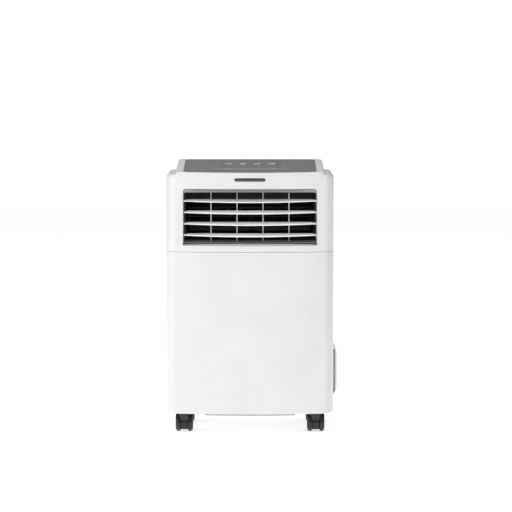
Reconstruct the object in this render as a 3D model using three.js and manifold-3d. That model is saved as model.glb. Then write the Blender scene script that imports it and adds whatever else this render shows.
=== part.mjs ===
// Portable air conditioner: millimetres, +Z up, front towards -Y, right-hand side towards +X.
// A white two-part housing stands on four twin-wheel casters. The lower bay holds the compressor,
// the condenser and its fan; the upper bay holds the evaporator, a cross-flow blower and the outlet.
import * as THREE from "three";
import { mergeVertices } from "three/addons/utils/BufferGeometryUtils.js";
import Module from "manifold-3d";

const wasm = await Module();
wasm.setup();

// ---------------------------------------------------------------- driving dimensions

// Housing
const width = 413; // across the widest part of the sides
const depth = 292; // middle of the bowed front to the rear wall
const height = 668; // floor to the rear edge of the top
const wall = 2.5; // moulded wall
const joint = 0.6; // gap between neighbouring mouldings
const clearance = 0.4; // gap round inner pieces
const sideSplay = 9; // how far each side runs out from the front face
const splayRun = 87; // how far back the sides reach their full width
const splayHeading = 64; // degrees, heading of the sides where they leave the front corner
const frontBow = 22; // bow of the front face in plan
const frontCorner = 14;
const rearCorner = 28;
const edgeRound = 10; // rounded upper edge of the shoulders
const hemRound = 3; // rounded lower edge of the housing
const shoulderDrop = 27; // top of the unit down to the shoulders
const frontDrop = 22.5; // top of the unit down to the front edge of the sloping top
const topInset = 12; // side of the front face to the side of the raised top
const topCorner = 14;
const topSetback = 16; // rear wall to the back of the raised top
const partSetback = 4; // behind the front corners
const topRound = 8;
const topWall = 4;

// Air outlet
const ventDrop = 62; // top of the unit down to the outlet opening
const ventHeight = 140;
const ventMargin = 21; // side of the raised top to the opening
const ventCorner = 8;
const bandHeight = 15; // opening down to the seam
const sillRise = 7.4;
const sillRun = 38;
const frameLip = 2; // how much of the outlet frame shows beside the opening
const frameRail = 9; // how much of it shows above
const frameWall = 5;
const frameDepth = 98;

// Louvres and vanes
const louverCount = 4;
const louverPitch = 28;
const louverChord = 31;
const louverThick = 2.6;
const louverTilt = 11; // degrees, front edge down
const louverPlay = 1; // each end of a louvre to the frame
const louverInset = 8; // front edge behind the front face
const louverDrop = 21.5; // ceiling of the outlet frame to the first louvre
const vaneCount = 4;
const vanePitch = 64;
const vaneChord = 28;
const vaneThick = 2.5;
const vaneGap = 12; // rear edge of the louvres to the vanes
const pinRadius = 2;
const crankThrow = 14;
const crankPin = 1.5;
const crankHalf = 2.2; // half the width of a crank arm
const linkThick = 3;

// Receiver window above the outlet
const slotWidth = 76;
const slotHeight = 8.6;
const lensFlange = 2;
const slotDrop = 39.7; // top of the unit down to the middle of the window

// Control panel
const panelWidth = 326;
const panelDepth = 256;
const panelThick = 2;
const panelFront = 6; // front face to the front edge of the panel
const panelCorner = 12;
const overlayWidth = 140;
const overlayDepth = 148;
const overlayFront = 70; // front edge of the panel to the overlay
const overlayThick = 0.9;
const keyWidth = 24;
const keyDepth = 30;
const keyPitch = 36;
const keyBack = 165; // front edge of the panel to the middle of the keys
const smallKeyRadius = 5;
const smallKeySpread = 85;
const smallKeyBack = 82;
const keyTravel = 1;
const boardThick = 1.6;

// Lower bay
const ductBay = 189; // partition deck up to the seam, room for the exhaust duct
const compressorRadius = 52;
const compressorHeadroom = 24; // deck down to the compressor
const accumulatorRadius = 22;
const fanShare = 2 / 7; // radius of the fan to the height of the bay
const fanDepth = 52;
const spigotRadius = 62; // bore of the hose collar
const spigotWall = 3.5;
const spigotProud = 10;
const spigotX = 95;
const spigotRise = 14; // deck to the lowest point of the collar
const grilleWidth = 300;
const lowerGrilleDrop = 15; // deck down to the lower grille
const upperGrilleHeight = 134;
const grilleMargin = 18; // seam to the upper grille; the lower one starts twice that over the hem
const slatPitch = 11;
const slatGap = 6;
const slatRim = 9; // plain border round the slats
const coilDepth = 26;

// Casters
const wheelRadius = 21;
const wheelWidth = 12;
const wheelGap = 19.4; // between the two wheels of a caster
const casterRise = 9; // top of the wheels to the lower edge of the housing
const casterTrail = 12;
const casterSpread = 163; // middle of the unit to each caster
const casterInset = 46; // front or rear of the pan to each stem
const stemRadius = 5;
const stemRise = 12; // stem above the floor of the pan

// Cord gland and drain plug in the rear wall
const drainRadius = 8;
const drainRise = 17; // lower edge of the housing to the drain
const glandRadius = 9;
const glandX = -120;
const glandRise = 30; // deck to the gland

// Cord cleat on the right side
const cleatHeight = 132;
const cleatBottom = 81;
const cleatWidth = 52;
const cleatProud = 10.6;
const cleatFlange = 4.6;
const cleatY = 20;

// ---------------------------------------------------------------- derived places

const half = width / 2;
const front = -depth / 2;
const rear = depth / 2;
const floorGap = 2 * wheelRadius + casterRise;
const faceHalf = half - sideSplay;
const topHalf = faceHalf - topInset;
const shoulderTop = height - shoulderDrop;
const frontTop = height - frontDrop;
const topRear = rear - topSetback;
const topSlope = (height - frontTop) / (topRear - topRound * 0.7 - front);
const topAngle = Math.atan(topSlope);
const ventTop = height - ventDrop;
const ventBottom = ventTop - ventHeight;
const ventHalf = topHalf - ventMargin;
const seam = ventBottom - bandHeight;
const deckHeight = seam - ductBay;
const panFloor = floorGap + 1;
const bay = deckHeight - panFloor;
const fanRadius = bay * fanShare;
const partY = front + frontBow + frontCorner + partSetback; // front mouldings meet the rear casing
const frameHalf = ventHalf - frameLip;
const frameTop = ventTop - frameRail;
const frameFloor = ventBottom + sillRise + 1;
const frameRear = front + frameDepth;
const louverY = front + louverInset + louverChord / 2;
const louverTopZ = frameTop - louverDrop;
const louverHalf = frameHalf - louverPlay;
const vaneY = louverY + louverChord / 2 + vaneGap + vaneChord / 2;
const outlineSteps = 3; // points on each curve of an outline
const deg = Math.PI / 180;

// The bow of the front face, measured back from its middle.
const bowAt = (x) => frontBow * (x / faceHalf) ** 2;

// ---------------------------------------------------------------- materials

const finish = (color, roughness, metalness = 0) =>
  new THREE.MeshStandardMaterial({ color, roughness, metalness, flatShading: true });

const finishes = {
  shell: () => finish(0xecebea, 0.32),
  louver: () => finish(0xe6e4e5, 0.35),
  panel: () => finish(0x7b787a, 0.3),
  overlay: () => finish(0x757274, 0.2),
  key: () => finish(0x7b787a, 0.3),
  lens: () => finish(0x2b2a2b, 0.12),
  frame: () => finish(0x58565a, 0.5),
  pan: () => finish(0xb9b9bb, 0.5),
  blackPlastic: () => finish(0x161617, 0.45),
  wheel: () => finish(0x121213, 0.55),
  blackMetal: () => finish(0x1c1c1e, 0.4, 0.3),
  galvanised: () => finish(0xb4b7b8, 0.45, 0.9),
  aluminium: () => finish(0xc2c4c6, 0.4, 0.9),
  copper: () => finish(0xb06a3c, 0.35, 0.9),
  mesh: () => finish(0x3c3d40, 0.8),
  board: () => finish(0x2f5a38, 0.5),
  rubber: () => finish(0x1d1d1e, 0.8),
  greyPlastic: () => finish(0xcfcfd0, 0.5),
};

// ---------------------------------------------------------------- solid helpers

// A closed three.js geometry as a solid that can be cut and joined.
function solid(geometry) {
  const bare = geometry.index ? geometry.toNonIndexed() : geometry.clone();
  for (const name of Object.keys(bare.attributes)) {
    if (name !== "position") bare.deleteAttribute(name);
  }
  const merged = mergeVertices(bare, 1e-4);
  const corners = merged.index.array;
  const kept = [];
  for (let i = 0; i < corners.length; i += 3) {
    const [a, b, c] = corners.slice(i, i + 3);
    if (a !== b && b !== c && c !== a) kept.push(a, b, c);
  }
  return new wasm.Manifold(
    new wasm.Mesh({
      numProp: 3,
      vertProperties: merged.attributes.position.array,
      triVerts: new Uint32Array(kept),
    }),
  );
}

const join = (...parts) => parts.reduce((whole, part) => whole.add(part));
const cut = (whole, ...parts) => parts.reduce((left, part) => left.subtract(part), whole);

// A solid as a three.js geometry.
function surface(body) {
  const { vertProperties, triVerts } = body.getMesh();
  const geometry = new THREE.BufferGeometry();
  geometry.setAttribute("position", new THREE.BufferAttribute(vertProperties, 3));
  geometry.setIndex(new THREE.BufferAttribute(triVerts, 1));
  return geometry;
}

// A named mesh of a solid, in its own material.
function piece(name, body, material) {
  const made = new THREE.Mesh(surface(body), material);
  made.name = name;
  return made;
}

const box = (x, y, z) =>
  solid(
    new THREE.BoxGeometry(x[1] - x[0], y[1] - y[0], z[1] - z[0]).translate(
      (x[0] + x[1]) / 2,
      (y[0] + y[1]) / 2,
      (z[0] + z[1]) / 2,
    ),
  );

// An outline drawn in X, Y and raised from one height to another.
const raised = (shape, z0, z1, segments = 3) =>
  solid(
    new THREE.ExtrudeGeometry(shape, {
      depth: z1 - z0,
      bevelEnabled: false,
      curveSegments: segments,
    }).translate(0, 0, z0),
  );

// An outline drawn in X, Z and run from front to back.
const runBack = (shape, y0, y1, segments = 3) =>
  solid(
    new THREE.ExtrudeGeometry(shape, {
      depth: y1 - y0,
      bevelEnabled: false,
      curveSegments: segments,
    })
      .rotateX(Math.PI / 2)
      .translate(0, y1, 0),
  );

// An outline drawn in Y, Z and run from left to right.
const acrossBasis = new THREE.Matrix4().makeBasis(
  new THREE.Vector3(0, 1, 0),
  new THREE.Vector3(0, 0, 1),
  new THREE.Vector3(1, 0, 0),
);
const runAcross = (shape, x0, x1, segments = 3) =>
  solid(
    new THREE.ExtrudeGeometry(shape, {
      depth: x1 - x0,
      bevelEnabled: false,
      curveSegments: segments,
    })
      .applyMatrix4(acrossBasis)
      .translate(x0, 0, 0),
  );

const turnFor = {
  x: (geometry) => geometry.rotateZ(-Math.PI / 2),
  y: (geometry) => geometry,
  z: (geometry) => geometry.rotateX(Math.PI / 2),
};

// A round bar along an axis; at gives its middle line, span its two ends.
function bar(axis, radius, at, span, sides = 10) {
  const length = span[1] - span[0];
  const geometry = turnFor[axis](new THREE.CylinderGeometry(radius, radius, length, sides));
  const middle = (span[0] + span[1]) / 2;
  const centre = {
    x: [middle, at[0], at[1]],
    y: [at[0], middle, at[1]],
    z: [at[0], at[1], middle],
  }[axis];
  return solid(geometry.translate(...centre));
}

// A turned piece: profile points are [radius, distance along the axis].
function turned(axis, profile, at, sides = 16) {
  const points = profile.map(([r, along]) => new THREE.Vector2(r, along));
  const geometry = new THREE.LatheGeometry(points, sides);
  if (axis === "x") geometry.rotateZ(-Math.PI / 2);
  if (axis === "z") geometry.rotateX(Math.PI / 2);
  return solid(geometry.translate(...at));
}

// A pipe along a smooth curve through the points.
function pipe(points, radius, steps = 14, sides = 8) {
  const shape = new THREE.Shape().absarc(0, 0, radius, 0, 2 * Math.PI);
  const extrudePath = new THREE.CatmullRomCurve3(points.map((p) => new THREE.Vector3(...p)));
  return solid(
    new THREE.ExtrudeGeometry(shape, {
      steps,
      bevelEnabled: false,
      curveSegments: sides / 2,
      extrudePath,
    }),
  );
}

function polygon(points) {
  return new THREE.Shape(points.map(([a, b]) => new THREE.Vector2(a, b)));
}

// A rounded rectangle; radius may be one number or [lower, upper].
function rounded(a0, a1, b0, b1, radius) {
  const [low, high] = Array.isArray(radius) ? radius : [radius, radius];
  const shape = new THREE.Shape();
  shape.moveTo(a0 + low, b0);
  shape.lineTo(a1 - low, b0);
  shape.absarc(a1 - low, b0 + low, low, -Math.PI / 2, 0);
  shape.lineTo(a1, b1 - high);
  shape.absarc(a1 - high, b1 - high, high, 0, Math.PI / 2);
  shape.lineTo(a0 + high, b1);
  shape.absarc(a0 + high, b1 - high, high, Math.PI / 2, Math.PI);
  shape.lineTo(a0, b0 + low);
  shape.absarc(a0 + low, b0 + low, low, Math.PI, 1.5 * Math.PI);
  return shape;
}

// Moves a counter-clockwise outline inwards, each corner along its mitre.
function inset(points, distance) {
  return points.map((point, i) => {
    const before = points[(i + points.length - 1) % points.length];
    const after = points[(i + 1) % points.length];
    const first = point.clone().sub(before).normalize();
    const second = after.clone().sub(point).normalize();
    const mitre = new THREE.Vector2(-first.y - second.y, first.x + second.x);
    return point.clone().addScaledVector(mitre, distance / (1 + first.dot(second)));
  });
}

// A solid through stacked outlines; a level is a height or a function of the point.
function loft(rings) {
  const count = rings[0].points.length;
  const position = [];
  for (const { points, level } of rings) {
    for (const p of points) {
      position.push(p.x, p.y, typeof level === "function" ? level(p) : level);
    }
  }
  const index = [];
  for (let ring = 0; ring + 1 < rings.length; ring++) {
    for (let i = 0; i < count; i++) {
      const a = ring * count + i;
      const b = ring * count + ((i + 1) % count);
      index.push(a, b, b + count, a, b + count, a + count);
    }
  }
  const top = (rings.length - 1) * count;
  for (const [a, b, c] of THREE.ShapeUtils.triangulateShape(rings[0].points, [])) {
    index.push(c, b, a);
  }
  for (const [a, b, c] of THREE.ShapeUtils.triangulateShape(rings.at(-1).points, [])) {
    index.push(top + a, top + b, top + c);
  }
  const geometry = new THREE.BufferGeometry();
  geometry.setAttribute("position", new THREE.Float32BufferAttribute(position, 3));
  geometry.setIndex(index);
  return solid(geometry);
}

// ---------------------------------------------------------------- housing outlines

// The right half of an outline from front centre to rear centre, mirrored to a closed ring.
function mirrored(path, divisions) {
  const right = path.getPoints(divisions);
  const left = right.slice(1, -1).reverse();
  return [...right, ...left.map((p) => new THREE.Vector2(-p.x, p.y))];
}

// Starts an outline along the bowed front face and round its corner, to a heading in plan.
function frontEdge(halfWidth, corner, heading) {
  const path = new THREE.Path();
  const turn = halfWidth - corner;
  const y = front + bowAt(turn);
  const lean = Math.atan((2 * frontBow * turn) / faceHalf ** 2);
  path.moveTo(0, front);
  path.quadraticCurveTo(turn / 2, front, turn, y);
  const centre = [turn - corner * Math.sin(lean), y + corner * Math.cos(lean)];
  path.absarc(...centre, corner, lean - Math.PI / 2, heading - Math.PI / 2);
  return path;
}

function housingOutline() {
  const path = frontEdge(faceHalf, frontCorner, splayHeading * deg);
  const start = path.currentPoint;
  const knee = start.y + (half - start.x) * Math.tan(splayHeading * deg);
  path.quadraticCurveTo(half, knee, half, Math.max(front + splayRun, knee + 1));
  path.lineTo(half, rear - rearCorner);
  path.absarc(half - rearCorner, rear - rearCorner, rearCorner, 0, Math.PI / 2);
  path.lineTo(0, rear);
  return mirrored(path, outlineSteps);
}

function topOutline() {
  const path = frontEdge(topHalf, topCorner, Math.PI / 2);
  const side = path.currentPoint.x;
  path.lineTo(side, topRear - topCorner);
  path.absarc(side - topCorner, topRear - topCorner, topCorner, 0, Math.PI / 2);
  path.lineTo(0, topRear);
  return mirrored(path, outlineSteps);
}

const housing = housingOutline();
const topRing = topOutline();
const slopeAt = (drop) => (p) => frontTop + (p.y - front) * topSlope - drop;

// The housing as a full body, grown (or shrunk) by a distance.
function housingBody(shrink, below, above) {
  return loft([
    { points: inset(housing, shrink + hemRound), level: floorGap + below },
    { points: inset(housing, shrink), level: floorGap + hemRound + below },
    { points: inset(housing, shrink), level: shoulderTop - edgeRound - above },
    { points: inset(housing, shrink + edgeRound * 0.3), level: shoulderTop - edgeRound * 0.3 - above },
    { points: inset(housing, shrink + edgeRound), level: shoulderTop - above },
  ]);
}

// The raised sloping top as a full body that reaches down to a level.
function topBody(shrink, bottom, drop) {
  return loft([
    { points: inset(topRing, shrink), level: bottom },
    { points: inset(topRing, shrink), level: slopeAt(drop + topRound * 0.7) },
    { points: inset(topRing, shrink + topRound * 0.7), level: slopeAt(drop) },
  ]);
}

const far = 2 * (width + depth + height);
const beyond = [-far, far];
const skin = cut(housingBody(0, 0, 0), housingBody(wall, -hemRound * 2, wall));
const aheadOf = (y) => box(beyond, [-far, y], beyond);
const behind = (y) => box(beyond, [y, far], beyond);
const above = (z) => box(beyond, beyond, [z, far]);
const under = (z) => box(beyond, beyond, [-far, z]);

// An endless upright body of the housing's outline, shrunk by a distance.
const column = (shrink) =>
  loft([
    { points: inset(housing, shrink), level: -height },
    { points: inset(housing, shrink), level: 2 * height },
  ]);

// Room for pieces held inside the housing, one clearance off its walls.
const room = housingBody(wall + clearance, -hemRound * 2, wall + clearance);

// ---------------------------------------------------------------- housing shells

function frontPanel() {
  const shell = skin.intersect(aheadOf(partY - joint / 2)).intersect(under(seam - joint / 2));
  return piece("front_panel", shell, finishes.shell());
}

function frontFascia() {
  const face = skin.intersect(aheadOf(partY - joint / 2)).intersect(above(seam + joint / 2));
  const hood = topBody(0, shoulderTop - edgeRound - wall, 0);
  const sill = polygon([
    [front, ventBottom - wall],
    [front + sillRun + frontBow, ventBottom + sillRise - wall],
    [front + sillRun + frontBow, ventBottom + sillRise],
    [front, ventBottom],
  ]);
  const sillHalf = ventHalf + wall;
  const ledge = runAcross(sill, -sillHalf, sillHalf).intersect(
    cut(housingBody(wall / 2, 0, wall), behind(front + sillRun)),
  );
  const opening = rounded(-ventHalf, ventHalf, ventBottom, ventTop, [wall, ventCorner]);
  const window = rounded(
    -slotWidth / 2,
    slotWidth / 2,
    height - slotDrop - slotHeight / 2,
    height - slotDrop + slotHeight / 2,
    slotHeight / 2 - 0.01,
  );
  const shell = cut(
    join(face, hood),
    topBody(wall, shoulderTop - 2 * edgeRound, topWall),
    runBack(opening, front - wall, partY),
    runBack(window, front - wall, front + frontBow),
    tilted(panelPlate(-joint, -panelThick - clearance, far)),
    tilted(panelPlate(8, -far / 4, far / 4)),
  );
  return piece("front_fascia", join(shell, ledge), finishes.shell());
}

function rearCasing(name, section, ...openings) {
  const shell = section.intersect(behind(partY + joint / 2));
  return piece(name, cut(shell, ...openings), finishes.shell());
}

function rearCasingUpper() {
  const window = box(
    [-grilleWidth / 2, grilleWidth / 2],
    [rear - 2 * wall, rear + wall],
    upperGrilleZ(),
  );
  return rearCasing(
    "rear_casing_upper",
    skin.intersect(above(seam + joint / 2)),
    topBody(-joint, shoulderTop - 2 * edgeRound, -far / 8),
    window,
  );
}

function rearCasingLower() {
  const window = box(
    [-grilleWidth / 2, grilleWidth / 2],
    [rear - 2 * wall, rear + wall],
    lowerGrilleZ(),
  );
  const through = [rear - 2 * wall, rear + wall];
  return rearCasing(
    "rear_casing_lower",
    skin.intersect(under(seam - joint / 2)),
    window,
    bar("y", spigotRadius + spigotWall + joint, [spigotX, spigotZ], through, 28),
    bar("y", drainRadius + joint, [0, drainZ], through),
    bar("y", glandRadius + joint, [glandX, glandZ], through),
  );
}

// ---------------------------------------------------------------- sloping control panel

// A group whose floor is the plane of the sloping top: Y runs up the slope from the front edge.
const slope = new THREE.Group();
slope.position.set(0, front, frontTop);
slope.rotation.x = topAngle;
slope.updateMatrixWorld();

const tilted = (body) => solid(surface(body).applyMatrix4(slope.matrixWorld));

// The panel's outline on the slope: a bowed front edge, straight sides and rounded corners.
function panelPlate(shrink, low, high) {
  const edge = panelWidth / 2;
  const turn = edge - panelCorner;
  const back = panelFront + panelDepth;
  const path = new THREE.Path();
  path.moveTo(0, panelFront);
  path.quadraticCurveTo(turn / 2, panelFront, turn, panelFront + bowAt(turn));
  const side = panelFront + bowAt(edge) + panelCorner;
  path.quadraticCurveTo(edge, panelFront + bowAt(edge), edge, side);
  path.lineTo(edge, back - panelCorner);
  path.quadraticCurveTo(edge, back, turn, back);
  path.lineTo(0, back);
  const points = inset(mirrored(path, outlineSteps), shrink);
  return loft([
    { points, level: low },
    { points, level: high },
  ]);
}

// The overlay's outline: an arched front edge, straight sides and back.
function overlayPlate(shrink, low, high) {
  const edge = overlayWidth / 2;
  const start = panelFront + overlayFront;
  const path = new THREE.Path();
  path.moveTo(0, start);
  path.quadraticCurveTo(edge / 2, start, edge, start + 8);
  path.lineTo(edge, start + overlayDepth);
  path.lineTo(0, start + overlayDepth);
  const points = inset(mirrored(path, outlineSteps), shrink);
  return loft([
    { points, level: low },
    { points, level: high },
  ]);
}

const keyNames = ["button_power", "button_mode", "button_fan", "button_timer"];
const smallKeyNames = ["button_sleep", "button_swing"];
const keyY = panelFront + keyBack;
const smallKeyY = panelFront + smallKeyBack;
const keyX = (i) => (i - (keyNames.length - 1) / 2) * keyPitch;
const smallKeyX = (i) => (i === 0 ? -smallKeySpread : smallKeySpread);

function keyBlock(x, grow, low, high) {
  const a = keyWidth / 2 + grow;
  const b = keyDepth / 2 + grow;
  return raised(rounded(x - a, x + a, keyY - b, keyY + b, 3 + grow), low, high, 2);
}

function controlPanel() {
  let plate = panelPlate(0, -panelThick, 0);
  plate = cut(plate, overlayPlate(-clearance, -overlayThick - clearance, 1));
  keyNames.forEach((_, i) => {
    plate = cut(plate, keyBlock(keyX(i), clearance, -far / 4, far / 4));
  });
  smallKeyNames.forEach((_, i) => {
    plate = cut(
      plate,
      bar("z", smallKeyRadius + clearance, [smallKeyX(i), smallKeyY], [-far / 4, far / 4]),
    );
  });
  return piece("control_panel", plate, finishes.panel());
}

function displayOverlay() {
  let plate = overlayPlate(0, -overlayThick, 0);
  keyNames.forEach((_, i) => {
    plate = cut(plate, keyBlock(keyX(i), clearance, -far / 4, far / 4));
  });
  return piece("display_overlay", plate, finishes.overlay());
}

const boardTop = -panelThick - 6;

function keys() {
  const foot = boardTop + keyTravel + clearance;
  const stopTop = -panelThick - clearance;
  const wide = keyNames.map((name, i) =>
    piece(
      name,
      join(
        keyBlock(keyX(i), 0, stopTop - 1.5, 0.5),
        keyBlock(keyX(i), 1.5, stopTop - 1.5, stopTop),
        bar("z", 3, [keyX(i), keyY], [foot, stopTop - 1], 10),
      ),
      finishes.key(),
    ),
  );
  const small = smallKeyNames.map((name, i) => {
    const at = [smallKeyX(i), smallKeyY];
    return piece(
      name,
      join(
        bar("z", smallKeyRadius, at, [stopTop - 1.5, 0.5]),
        bar("z", smallKeyRadius + 1.5, at, [stopTop - 1.5, stopTop]),
        bar("z", 2, at, [foot, stopTop - 1], 10),
      ),
      finishes.key(),
    );
  });
  return [...wide, ...small];
}

function controlBoard() {
  const spread = smallKeySpread + 3 * smallKeyRadius;
  const plate = raised(
    rounded(-spread, spread, smallKeyY - 20, keyY + keyDepth, 4),
    boardTop - boardThick,
    boardTop,
    3,
  );
  const chip = box([-15, 15], [keyY - 80, keyY - 50], [boardTop - boardThick - 4, boardTop - 1]);
  return piece("control_board", join(plate, chip), finishes.board());
}

// A stadium lens that fills the window, with a flange behind the fascia wall.
function receiverLens() {
  const a = slotWidth / 2 - clearance;
  const b = slotHeight / 2 - clearance;
  const z = height - slotDrop;
  const face = runBack(rounded(-a, a, z - b, z + b, b - 0.01), front - wall, front + frontBow);
  const grown = runBack(
    rounded(-a - lensFlange, a + lensFlange, z - b - lensFlange, z + b + lensFlange, b),
    front - wall,
    front + frontBow,
  );
  const lens = face.intersect(cut(column(0.8), column(2 * wall)));
  const flange = grown.intersect(cut(column(wall + clearance), column(2 * wall)));
  return piece("receiver_lens", join(lens, flange), finishes.lens());
}

// ---------------------------------------------------------------- air outlet

const louverZ = (i) => louverTopZ - i * louverPitch;
const vaneX = (i) => (i - (vaneCount - 1) / 2) * vanePitch;
const crankX = frameHalf + frameWall + clearance;
const linkX = crankX + 3;
const holeRadius = pinRadius + 0.3;

function outletFrame() {
  const outer = rounded(
    -frameHalf - frameWall,
    frameHalf + frameWall,
    frameFloor - frameWall,
    ventTop + frameWall,
    2,
  );
  const inner = rounded(-frameHalf, frameHalf, frameFloor, frameTop, [0.5, 5]);
  let frame = cut(
    runBack(outer, front, frameRear),
    runBack(inner, front - wall, frameRear + wall),
    box(beyond, [front - wall, front + sillRun + joint], [-far, ventBottom + sillRise + clearance]),
  ).intersect(room);
  frame = cut(
    frame,
    runAcross(
      polygon([
        [front - wall, frameTop + 1],
        [front - wall, ventTop + 2 * frameWall],
        [front + 1, ventTop + 2 * frameWall],
        [front + 1, frameTop + 1],
      ]),
      -far,
      far,
    ),
  );
  for (let i = 0; i < louverCount; i++) {
    frame = cut(frame, bar("x", holeRadius, [louverY, louverZ(i)], beyond, 8));
  }
  for (let i = 0; i < vaneCount; i++) {
    frame = cut(
      frame,
      bar("z", holeRadius, [vaneX(i), vaneY], [frameFloor - 2 * frameWall, frameTop + 3], 8),
    );
  }
  return piece("outlet_frame", frame, finishes.frame());
}

// The blade in plan: its front edge follows the bow of the face, its rear corners are cut back.
function louverBlade() {
  const lead = -louverChord / 2;
  const tail = louverChord / 2;
  const path = new THREE.Path();
  path.moveTo(0, lead);
  path.quadraticCurveTo(louverHalf / 2, lead, louverHalf, lead + bowAt(louverHalf));
  path.lineTo(louverHalf, tail - 12);
  path.quadraticCurveTo(louverHalf, tail - 1, louverHalf - 16, tail);
  path.lineTo(0, tail);
  const points = mirrored(path, outlineSteps);
  return loft([
    { points, level: -louverThick / 2 },
    { points, level: louverThick / 2 },
  ]);
}

function louvers() {
  const blade = louverBlade();
  const made = [];
  for (let i = 0; i < louverCount; i++) {
    const body = join(
      blade,
      bar("x", pinRadius, [0, 0], [-frameHalf - frameWall + 0.5, -louverHalf + 2], 8),
      bar("x", pinRadius, [0, 0], [louverHalf - 2, crankX + 1], 8),
      box([crankX, crankX + 2.4], [-crankHalf, crankThrow + 3], [-crankHalf, crankHalf]),
      bar("x", crankPin, [crankThrow, 0], [crankX + 1, linkX + linkThick + 1], 8),
    );
    const louver = piece(`louver_${i + 1}`, body, finishes.louver());
    louver.position.set(0, louverY, louverZ(i));
    louver.rotation.x = louverTilt * deg;
    made.push(louver);
  }
  return made;
}

// The bar that ties the louvre cranks together, outside the frame's right wall.
function louverLink() {
  const y = louverY + crankThrow * Math.cos(louverTilt * deg);
  const rise = crankThrow * Math.sin(louverTilt * deg);
  let link = box(
    [linkX, linkX + linkThick],
    [y - 4, y + 4],
    [louverZ(louverCount - 1) + rise - 4.5, louverZ(0) + rise + 4.5],
  );
  for (let i = 0; i < louverCount; i++) {
    link = cut(link, bar("x", crankPin + 0.4, [y, louverZ(i) + rise], beyond, 8));
  }
  return piece("louver_link", link, finishes.blackPlastic());
}

const vaneCrankZ = frameFloor - frameWall - clearance;

function vanes() {
  const low = frameFloor + 1.5;
  const high = frameTop - 1.5;
  const body = join(
    raised(rounded(-vaneThick / 2, vaneThick / 2, -vaneChord / 2, vaneChord / 2, 0.8), low, high, 2),
    bar("z", pinRadius, [0, 0], [high - 1, frameTop + 2.5], 8),
    bar("z", pinRadius, [0, 0], [vaneCrankZ - 1, low + 1], 8),
    box([-crankHalf, crankHalf], [-crankHalf, crankThrow + 3], [vaneCrankZ - 2.4, vaneCrankZ]),
    bar("z", crankPin, [0, crankThrow], [vaneCrankZ - 3 - linkThick - 1, vaneCrankZ - 1], 8),
  );
  const made = [];
  for (let i = 0; i < vaneCount; i++) {
    const vane = piece(`vane_${i + 1}`, body, finishes.louver());
    vane.position.set(vaneX(i), vaneY, 0);
    made.push(vane);
  }
  return made;
}

// The bar that ties the vane cranks together, under the frame's floor.
function vaneLink() {
  const y = vaneY + crankThrow;
  const top = vaneCrankZ - 3;
  let link = box([vaneX(0) - 4.5, vaneX(vaneCount - 1) + 4.5], [y - 4, y + 4], [top - linkThick, top]);
  for (let i = 0; i < vaneCount; i++) {
    link = cut(link, bar("z", crankPin + 0.4, [vaneX(i), y], [0, far], 8));
  }
  return piece("vane_link", link, finishes.blackPlastic());
}

function swingMotor() {
  const inner = -frameHalf - frameWall - clearance;
  const can = bar("x", 13, [louverY, louverZ(0)], [inner - 12, inner], 20);
  const ears = box([inner - 1.6, inner], [louverY - 4, louverY + 4], [louverZ(0) - 18, louverZ(0) + 18]);
  return piece("swing_motor", join(can, ears).intersect(room), finishes.galvanised());
}

// ---------------------------------------------------------------- evaporator side

const blowerRadius = 44;
const blowerY = frameRear + 8 + blowerRadius;
const blowerZ = (frameFloor + frameTop) / 2;
const blowerPlate = frameHalf - 2;
const blowerHalf = blowerPlate - 8;
const evaporatorZ = [seam + 12, ventTop + 6];
const evaporatorY = rear - 70;

// The spiral guide behind the blower wheel and the tongue ahead of it, between two end plates.
function blowerHousing() {
  const outer = [];
  const inner = [];
  const turns = 10;
  for (let i = 0; i <= turns; i++) {
    const a = (35 - (150 * i) / turns) * deg;
    const r = blowerRadius + 6 + (12 * i) / turns;
    inner.push([blowerY + r * Math.cos(a), blowerZ + r * Math.sin(a)]);
    outer.push([blowerY + (r + wall) * Math.cos(a), blowerZ + (r + wall) * Math.sin(a)]);
  }
  const start = frameRear + joint;
  inner.push([start, frameFloor + 0.5]);
  outer.push([start, frameFloor + 0.5 - wall]);
  const guide = polygon([...outer, ...inner.reverse()]);
  const tongue = polygon([
    [start, frameTop],
    [blowerY - 32, blowerZ + 38],
    [blowerY - 26, blowerZ + 46],
    [start, frameTop + wall],
  ]);
  const rearY = evaporatorY - 3;
  const plate = rounded(start, rearY, frameFloor - wall - 1, frameTop + wall + 1, 4);
  const ends = [-1, 1].map((side) => {
    const x = [side * (blowerPlate - 3), side * blowerPlate].sort((a, b) => a - b);
    return cut(runAcross(plate, x[0], x[1], 3), bar("x", 6, [blowerY, blowerZ], beyond));
  });
  const span = [-blowerPlate + 1, blowerPlate - 1];
  const body = join(runAcross(guide, ...span), ends[0], ends[1], runAcross(tongue, ...span));
  return piece("blower_housing", body, finishes.greyPlastic());
}

// A cross-flow wheel: curved blades between discs, on the X axis through its own origin.
function blowerWheel() {
  const blades = 12;
  const discs = [-1, 0, 1].map((k) => {
    const x = k * (blowerHalf - 1);
    return bar("x", blowerRadius, [0, 0], [x - 1, x + 1], blades);
  });
  const shaft = bar("x", 4, [0, 0], [-blowerPlate - 1.5, blowerPlate - 1], 12);
  const blade = runAcross(
    polygon([
      [blowerRadius - 13, -1],
      [blowerRadius - 1, 3],
      [blowerRadius - 1.4, 4.4],
      [blowerRadius - 13, 0.6],
    ]),
    -blowerHalf,
    blowerHalf,
  );
  let wheel = join(shaft, ...discs);
  for (let i = 0; i < blades; i++) wheel = wheel.add(blade.rotate([(360 * i) / blades, 0, 0]));
  const made = piece("blower_wheel", wheel, finishes.blackPlastic());
  made.position.set(0, blowerY, blowerZ);
  return made;
}

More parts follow.
